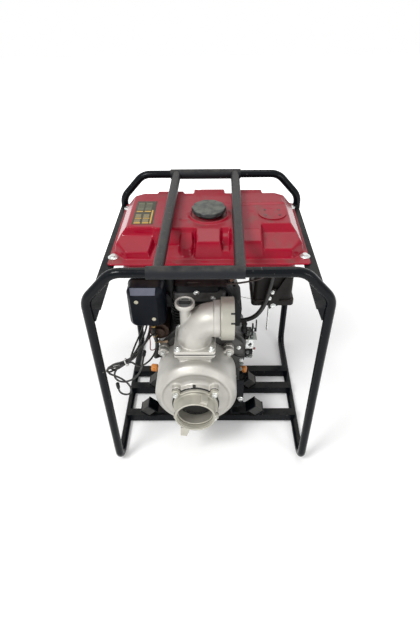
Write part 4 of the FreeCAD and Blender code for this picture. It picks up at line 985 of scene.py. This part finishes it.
def make_pump_details():
    """Seal beads, inlet flap and threads, ring lugs, outlet ring marks and the plug's bar."""
    bm = bmesh.new()
    hollow_ring(bm, [(64.5, 0), (65.5, 0.6), (65.5, 2.4), (64.5, 3.0), (53, 3.0), (53, 0)],
                at(SHAFT_X, -205.8, SHAFT_Z), FRONT, 72)
    lathe(bm, [(46.5, 0), (46.5, 2)], at(SHAFT_X, -203, SHAFT_Z), FRONT, 64)
    lathe(bm, [(4.5, -3), (4.5, 3), (3.0, 4.5)], at(SHAFT_X - 2, -207, SHAFT_Z + 70), FRONT, 16)
    for y, z, tilt in ((-145.2, 467.6, 39), (-160.6, 448.2, 64)):
        box_piece(bm, (55, y - 2.5, z - 0.9), (65.2, y + 2.5, z + 0.9), 0.3, (tilt, 0, 0))
    box_piece(bm, (-79, -113, 475), (-47, -105, 479), 1.2)
    piece("seal_beads", bm, GASKET)
    bm = bmesh.new()
    prism(bm, [(-82, 148), (-56, 142), (-66, 110), (-84, 112)], -252, -246, upright=True)
    prism(bm, [(-30, 245), (-9, 241), (-6, 254), (-22, 261)], -254, -232, upright=True)
    piece("ring_lugs", bm, CAST_DARK)
    bm = bmesh.new()
    for depth in (3.0, 7.0, 11.0):
        hollow_ring(bm, [(51.4, 0), (49.6, 0.8), (49.6, 1.4), (51.4, 2.2)],
                    at(SHAFT_X, MOUTH_Y + depth, SHAFT_Z), BACK, 64)
    piece("ring_threads", bm, CAST_DARK)


make_pump_bolts()
make_pump_details()


# Air cleaner


def make_cleaner_cover():
    """A rounded box with a bevelled front and a rim at the back."""
    low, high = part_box("air_cleaner_cover")
    left, right = low.x / MM, high.x / MM
    bottom, top = low.z / MM, high.z / MM
    face, rim = low.y / MM, high.y / MM
    mx, mz = (left + right) / 2, (bottom + top) / 2
    width, height = right - left, top - bottom
    bm = bmesh.new()
    ring_loft(bm, [
        (width - 34, height - 40, 10, (mx - 4, face + 0.2, mz - 4)),
        (width - 27, height - 33, 13, (mx - 4, face, mz - 4)),
        (width - 25, height - 30, 14, (mx - 4, face + 1.2, mz - 4.2)),
        (width - 3, height - 3, 18, (mx, face + 13, mz)),
        (width, height, 19, (mx, face + 16, mz)),
        (width, height, 19, (mx, rim - 5, mz)),
        (width + 3, height + 3, 20, (mx, rim - 4, mz)),
        (width + 3, height + 3, 20, (mx, rim - 0.5, mz)),
        (width, height, 19, (mx, rim, mz)),
    ])
    cover = piece("cleaner_cover", bm, FILTER, sharp=28)
    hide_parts("air_cleaner_cover")


def make_cleaner_trim():
    """The two screws, and a paler strip on the bevel above them that paints its highlight."""
    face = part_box("air_cleaner_cover")[0].y / MM
    bm = bmesh.new()
    for x, z in ((-187, 480), (-146, 424)):
        lathe(bm, [(5.4, 0), (5.4, 0.8), (4.8, 1.2)], at(x, face + 0.2, z), FRONT, 24)
        domed_screw(bm, at(x, face - 0.4, z), FRONT, 4.4, 3.4)
    piece("cleaner_screws", bm, BRASS)
    # A paler strip laid on the cover's top bevel: a painted highlight where the bevel catches the
    # light.
    bm = bmesh.new()
    spots = [(-200, face + 0.7, 500.6), (-138, face + 0.7, 500.6), (-136, face + 11.0, 516.6),
             (-202, face + 11.0, 516.6)]
    join_rings(bm, [[bm.verts.new(at(*spot)) for spot in spots],
                    [bm.verts.new(at(x, y + 1.5, z - 0.8)) for x, y, z in spots]])
    piece("cleaner_bevel", bm, BEVEL_HIGHLIGHT, smooth=False)


def make_intake():
    bm = bmesh.new()
    box_piece(bm, (-121, -30, 398), (-97, 34, 500), 5)
    lathe(bm, [(15, 0), (15, 8), (17, 9), (17, 14), (13, 15)], at(-123, -31, 440), FRONT, 32)
    duct = piece("intake_shroud", bm, ENGINE_BLACK)
    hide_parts("intake_duct")


make_cleaner_cover()
make_cleaner_trim()
make_intake()


# Leads

LEAD_ROUTES = {
    "lead_a": [
        (-176, -51, 383), (-176, -51, 364), (-181, -68, 345), (-188, -98, 340),
        (-190, -130, 350), (-192, -164, 362), (-203.4, -198.6, 362.4), (-228, -201.4, 349.4),
        (-252, -203, 345), (-269, -201, 330), (-268, -198, 308), (-248, -197, 297),
        (-228, -200, 284), (-214, -203, 264), (-214, -205, 243), (-224, -205, 233),
        (-238, -204, 233), (-248, -203, 243), (-248, -203, 257)],
    "lead_b": [
        (-168, -51, 383), (-168, -51, 364), (-170, -70, 345), (-176, -102, 338),
        (-182, -136, 344), (-188, -170, 354), (-201, -198.6, 357.6), (-225.6, -201.4, 344.6),
        (-246, -206, 330), (-252, -210, 306), (-236, -212, 290), (-212, -210, 292),
        (-192, -204, 304), (-180, -196, 322), (-177, -176, 333), (-177, -157, 333)],
    "loop_c": [
        (-181, -47, 383), (-182, -49, 366), (-192, -84, 352), (-200, -130, 353),
        (-203, -172, 359), (-205, -204, 358.5), (-223, -206, 349), (-243, -207, 343),
        (-262, -208, 338), (-270, -207, 328), (-264, -203, 318), (-246, -198, 325),
        (-223, -196, 348.5), (-205, -194.5, 358), (-192, -165, 347), (-178, -132, 350),
        (-163, -102, 356), (-154, -82, 348), (-153, -72, 330), (-157, -67, 306)],
    "loop_d": [
        (-162, -53, 383), (-163, -54, 366), (-167, -68, 345), (-175, -100, 338),
        (-190, -140, 340), (-201, -178, 352), (-208, -199, 362), (-226, -201, 353.5),
        (-243, -201, 349), (-258, -200, 339), (-258, -198, 324), (-243, -197, 323),
        (-221, -199, 344), (-203, -198, 353), (-196, -190, 335), (-190, -180, 317),
        (-177, -160, 303), (-162, -130, 296), (-152, -100, 300), (-150, -78, 313),
        (-157, -67, 328)],
}
LEAD_DIAMETER = 5.0
TIE_PLACE = (-214.5, -200, 353.5)
TIE_RUN = (-0.882, -0.1, -0.461)
TIE_HEAD = (4.5, 4, 3.6)
TIE_HEAD_REACH = 11


def make_plug(name, place, direction):
    """A ribbed connector that a lead ends in."""
    bm = bmesh.new()
    profile = [(3.4, 0), (4.2, 0.4), (4.2, 3.0), (3.6, 3.4), (3.6, 4.4), (4.6, 5.0), (4.9, 6.0),
               (4.9, 17.5), (4.4, 19.0), (3.0, 19.4), (3.0, 16.0)]
    lathe(bm, profile, place, direction, 28)
    plug = piece(name, bm, CAP)
    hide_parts("lead_plugs")
    return plug


def make_lead(name, plug=None):
    """A limp lead: two end in connectors, the two loops go back into the wiring harness."""
    route = LEAD_ROUTES[name]
    data = bpy.data.curves.new(name + "_line", "CURVE")
    data.dimensions = "3D"
    spline = data.splines.new("NURBS")
    spline.points.add(len(route) - 1)
    for point, spot in zip(spline.points, route):
        point.co = (*at(*spot), 1)
    spline.order_u = 3
    spline.use_endpoint_u = True
    data.resolution_u = 8
    data.bevel_depth = LEAD_DIAMETER / 2 * MM
    data.bevel_resolution = 4
    data.use_fill_caps = True
    data.materials.append(LEAD)
    lead = new_object(name + "_line", data)
    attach(lead, BODY)
    if plug:
        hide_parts(name)


def make_tie():
    """A white cable tie round the leads, with its head."""
    place = at(*TIE_PLACE)
    bm = bmesh.new()
    hollow_ring(bm, [(9.4, -1.5), (10.4, -1.3), (10.4, 1.3), (9.4, 1.5)], place, TIE_RUN, 32)
    part = bmesh.new()
    bmesh.ops.create_cube(part, size=1.0)
    bmesh.ops.scale(part, verts=part.verts, vec=Vector(TIE_HEAD) * MM)
    part.transform(Matrix.Translation(place) @ basis(TIE_RUN)
                   @ Matrix.Translation(at(0, -TIE_HEAD_REACH, 0)))
    merge(bm, part)
    piece("cable_tie", bm, TIE)


def make_harness():
    """The corrugated harness, its yellow tape and a thin red wire beside it."""
    route = [(-159, -51, 386), (-160, -54, 366), (-159, -64, 345), (-156, -66, 322),
             (-153, -66, 300), (-155, -66, 274), (-160, -64, 250), (-163, -56, 232),
             (-156, -44, 224), (-146, -42, 222)]
    harness = tube("corrugated_harness", LEAD, route,
                   lambda run: 5.4 + 0.55 * math.sin(2 * math.pi * run / 3.2), 16, 32)
    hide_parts("wiring_harness")
    bm = bmesh.new()
    for (x, y, z), run in (((-159.6, -60, 354), (0, -8, -20)), ((-156.5, -66, 325), (3, -1, -24)),
                           ((-153.2, -66, 303), (2, 0, -22))):
        hollow_ring(bm, [(5.2, -2), (6.2, -2), (6.2, 2), (5.2, 2)], at(x, y, z), run, 20)
    piece("harness_tapes", bm, WIRE_YELLOW)
    bm = bmesh.new()
    sweep(bm, [(-167, -48, 384), (-167, -56, 362), (-169, -80, 338), (-168, -90, 316),
               (-169, -94, 298), (-163, -82, 284), (-157, -70, 280)], 1.5, 10)
    piece("red_wire", bm, WIRE_RED)


make_lead("lead_a", make_plug("plug_a", at(*LEAD_ROUTES["lead_a"][-1]), UP))
make_lead("lead_b", make_plug("plug_b", at(*LEAD_ROUTES["lead_b"][-1]), BACK))
make_lead("loop_c")
make_lead("loop_d")
make_tie()
make_harness()


# Engine fittings


def make_engine_bolts():
    bm = bmesh.new()
    for x, z in ((-35, 455), (9, 437)):
        domed_screw(bm, at(x, -39.2, z), FRONT, 5.5, 3.5, 8)
    for x, z in ((-128, 112), (-136, 190), (-132, 258), (-86, 316), (-30, 322), (30, 316),
                 (84, 272), (92, 220), (74, 150), (70, 112)):
        hex_head(bm, at(x, -60, z), FRONT, 9, 4, 6.5, x * 0.05)
    for x, z in ((111, 282), (121, 266)):
        hex_head(bm, at(x, -49, z), FRONT, 8, 4, 5.5, 0.2)
    hex_head(bm, at(91, -114, 108), FRONT, 13, 5.5, 9, 0.2)
    for z in (238, 300):
        hex_head(bm, at(127, -34, z), RIGHT, 9, 4, 6, 0.3)
    piece("engine_bolts", bm, ZINC)


def make_control_parts():
    """Levers, plates and unions round the injection pump."""
    bm = bmesh.new()
    box_piece(bm, (119.5, -54, 300), (124, -48, 356), 1.2)
    lathe(bm, [(6, 0), (6, 9)], at(116, -51, 306), RIGHT, 20)
    box_piece(bm, (104, -50, 220), (126, -42, 254), 1.5)
    sweep(bm, [(70, -61, 244), (90, -66, 240), (112, -63, 243), (126, -54, 253)], 1.9, 10)
    lathe(bm, [(9, 0), (9, 14), (6, 16), (6, 24), (8, 25), (8, 30)], at(99, -40, 318),
          segments=20)
    piece("stop_lever", bm, ENGINE_BLACK)
    bm = bmesh.new()
    lathe(bm, [(8, 0), (8, 8), (5.5, 9), (5.5, 18), (4, 19)], at(112, -30, 296), UP, 24)
    lathe(bm, [(7, 0), (7, 5)], at(112, -30, 303), UP, 6)
    prism(bm, [(111, 293), (137, 293), (133, 318), (117, 323)], -50, -47.6, upright=True)
    for x, y, z, size in ((111, -50, 244, 7), (121, -50, 229, 8), (110, -50, 228, 6),
                          (94, -60, 206, 9), (92, -60, 184, 8), (122, -50, 310, 7)):
        hex_head(bm, at(x, y, z), FRONT, size, 5, size * 0.75, x * 0.1)
    piece("control_fittings", bm, DULL_ZINC)
    bm = bmesh.new()
    lathe(bm, [(6, 0), (6, 0.5)], at(117, -49.2, 274), FRONT, 20)
    piece("tab_hole", bm, GASKET)
    bm = bmesh.new()
    box_piece(bm, (128, -50, 253), (134, -46, 260), 1.0)
    piece("red_stop", bm, WIRE_RED)


def make_oil_caps():
    bm = bmesh.new()

    def grip(angle):
        return 1 - 0.06 * (0.5 - 0.5 * math.cos(8 * angle))

    lathe(bm, [(7, -2), (7, 19)], at(-150, -30, 156), (-1, 0, 0), 24)
    lathe(bm, [(9, 16), (11.5, 17), (12, 19), (12, 33), (11, 35), (8, 36)], at(-150, -30, 156),
          (-1, 0.1, 0), 64, 0.0, grip)
    lathe(bm, [(7, -8), (7, 2)], at(100, -30, 152), RIGHT, 24)
    lathe(bm, [(8, 1), (10.5, 2), (11.5, 4), (11.5, 10), (10.5, 12), (7, 13)],
          at(100, -30, 152), (1, -0.4, 0.25), 64, 0.0, grip)
    caps = piece("oil_cap_grips", bm, ORANGE)
    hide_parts("oil_caps")


def make_pipes():
    """Hose, return line, exhaust bend, throttle cable and the starter's cable."""
    hose = tube("fuel_hose_line", HOSE, [
        (174, -4, 536), (174, -4, 508), (171, -4, 470), (165, -4, 431), (158, -4, 394),
        (147, -4, 366), (132, -4, 345), (112, -4, 333), (86, -4, 327)], 6.6, 20, 10)
    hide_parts("fuel_hose")
    line = tube("return_hose", HOSE_BROWN, [
        (-60, -20, 476), (-40, -20, 475), (-10, -20, 472), (21, -20, 470), (58, -20, 471),
        (87, -20, 475), (111, -20, 480), (144, -20, 492), (156, -16, 512), (158, -12, 534)],
        2.7, 14, 10)
    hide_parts("return_line")
    pipe = tube("exhaust_bend", BROWN, [
        (46, 34, 441), (62, 40, 449), (82, 46, 470), (104, 48, 486), (128, 48, 488)], 10.5, 24)
    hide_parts("exhaust_pipe")
    bm = bmesh.new()
    sweep(bm, [(68, 20, 404), (96, 20, 396), (124, 20, 387)], 1.3, 8)
    lathe(bm, [(3.1, 0), (3.1, 122)], at(176, 40, 254), segments=12)
    piece("thin_rods", bm, ZINC)
    bm = bmesh.new()
    sweep(bm, [(-158, -50, 300), (-150, -55, 294), (-136, -56, 290), (-122, -55, 293)], 4.2, 14)
    piece("starter_cable", bm, TAN)


def make_muffler_details():
    """The diagonal strut with its lower plate and bolts."""
    bm = bmesh.new()
    prism(bm, [(210.3, 475.1), (229.5, 474.9), (190.2, 384.7), (167.2, 384.9)], 0.5, 5.5,
          upright=True)
    prism(bm, [(158.3, 431.2), (185.9, 437.9), (199.1, 381.0), (171.4, 366.5)], 1.5, 5.8,
          upright=True)
    part = piece("muffler_strut", bm, MUFFLER)
    bm = bmesh.new()
    for x, z, size in ((177, 427, 8), (170, 406, 8), (182, 379, 11)):
        hex_head(bm, at(x, 1.5, z), FRONT, size, 5, size * 0.7, x * 0.1)
    piece("muffler_bolts", bm, ZINC)


make_engine_bolts()
make_control_parts()
make_oil_caps()
make_pipes()
make_muffler_details()
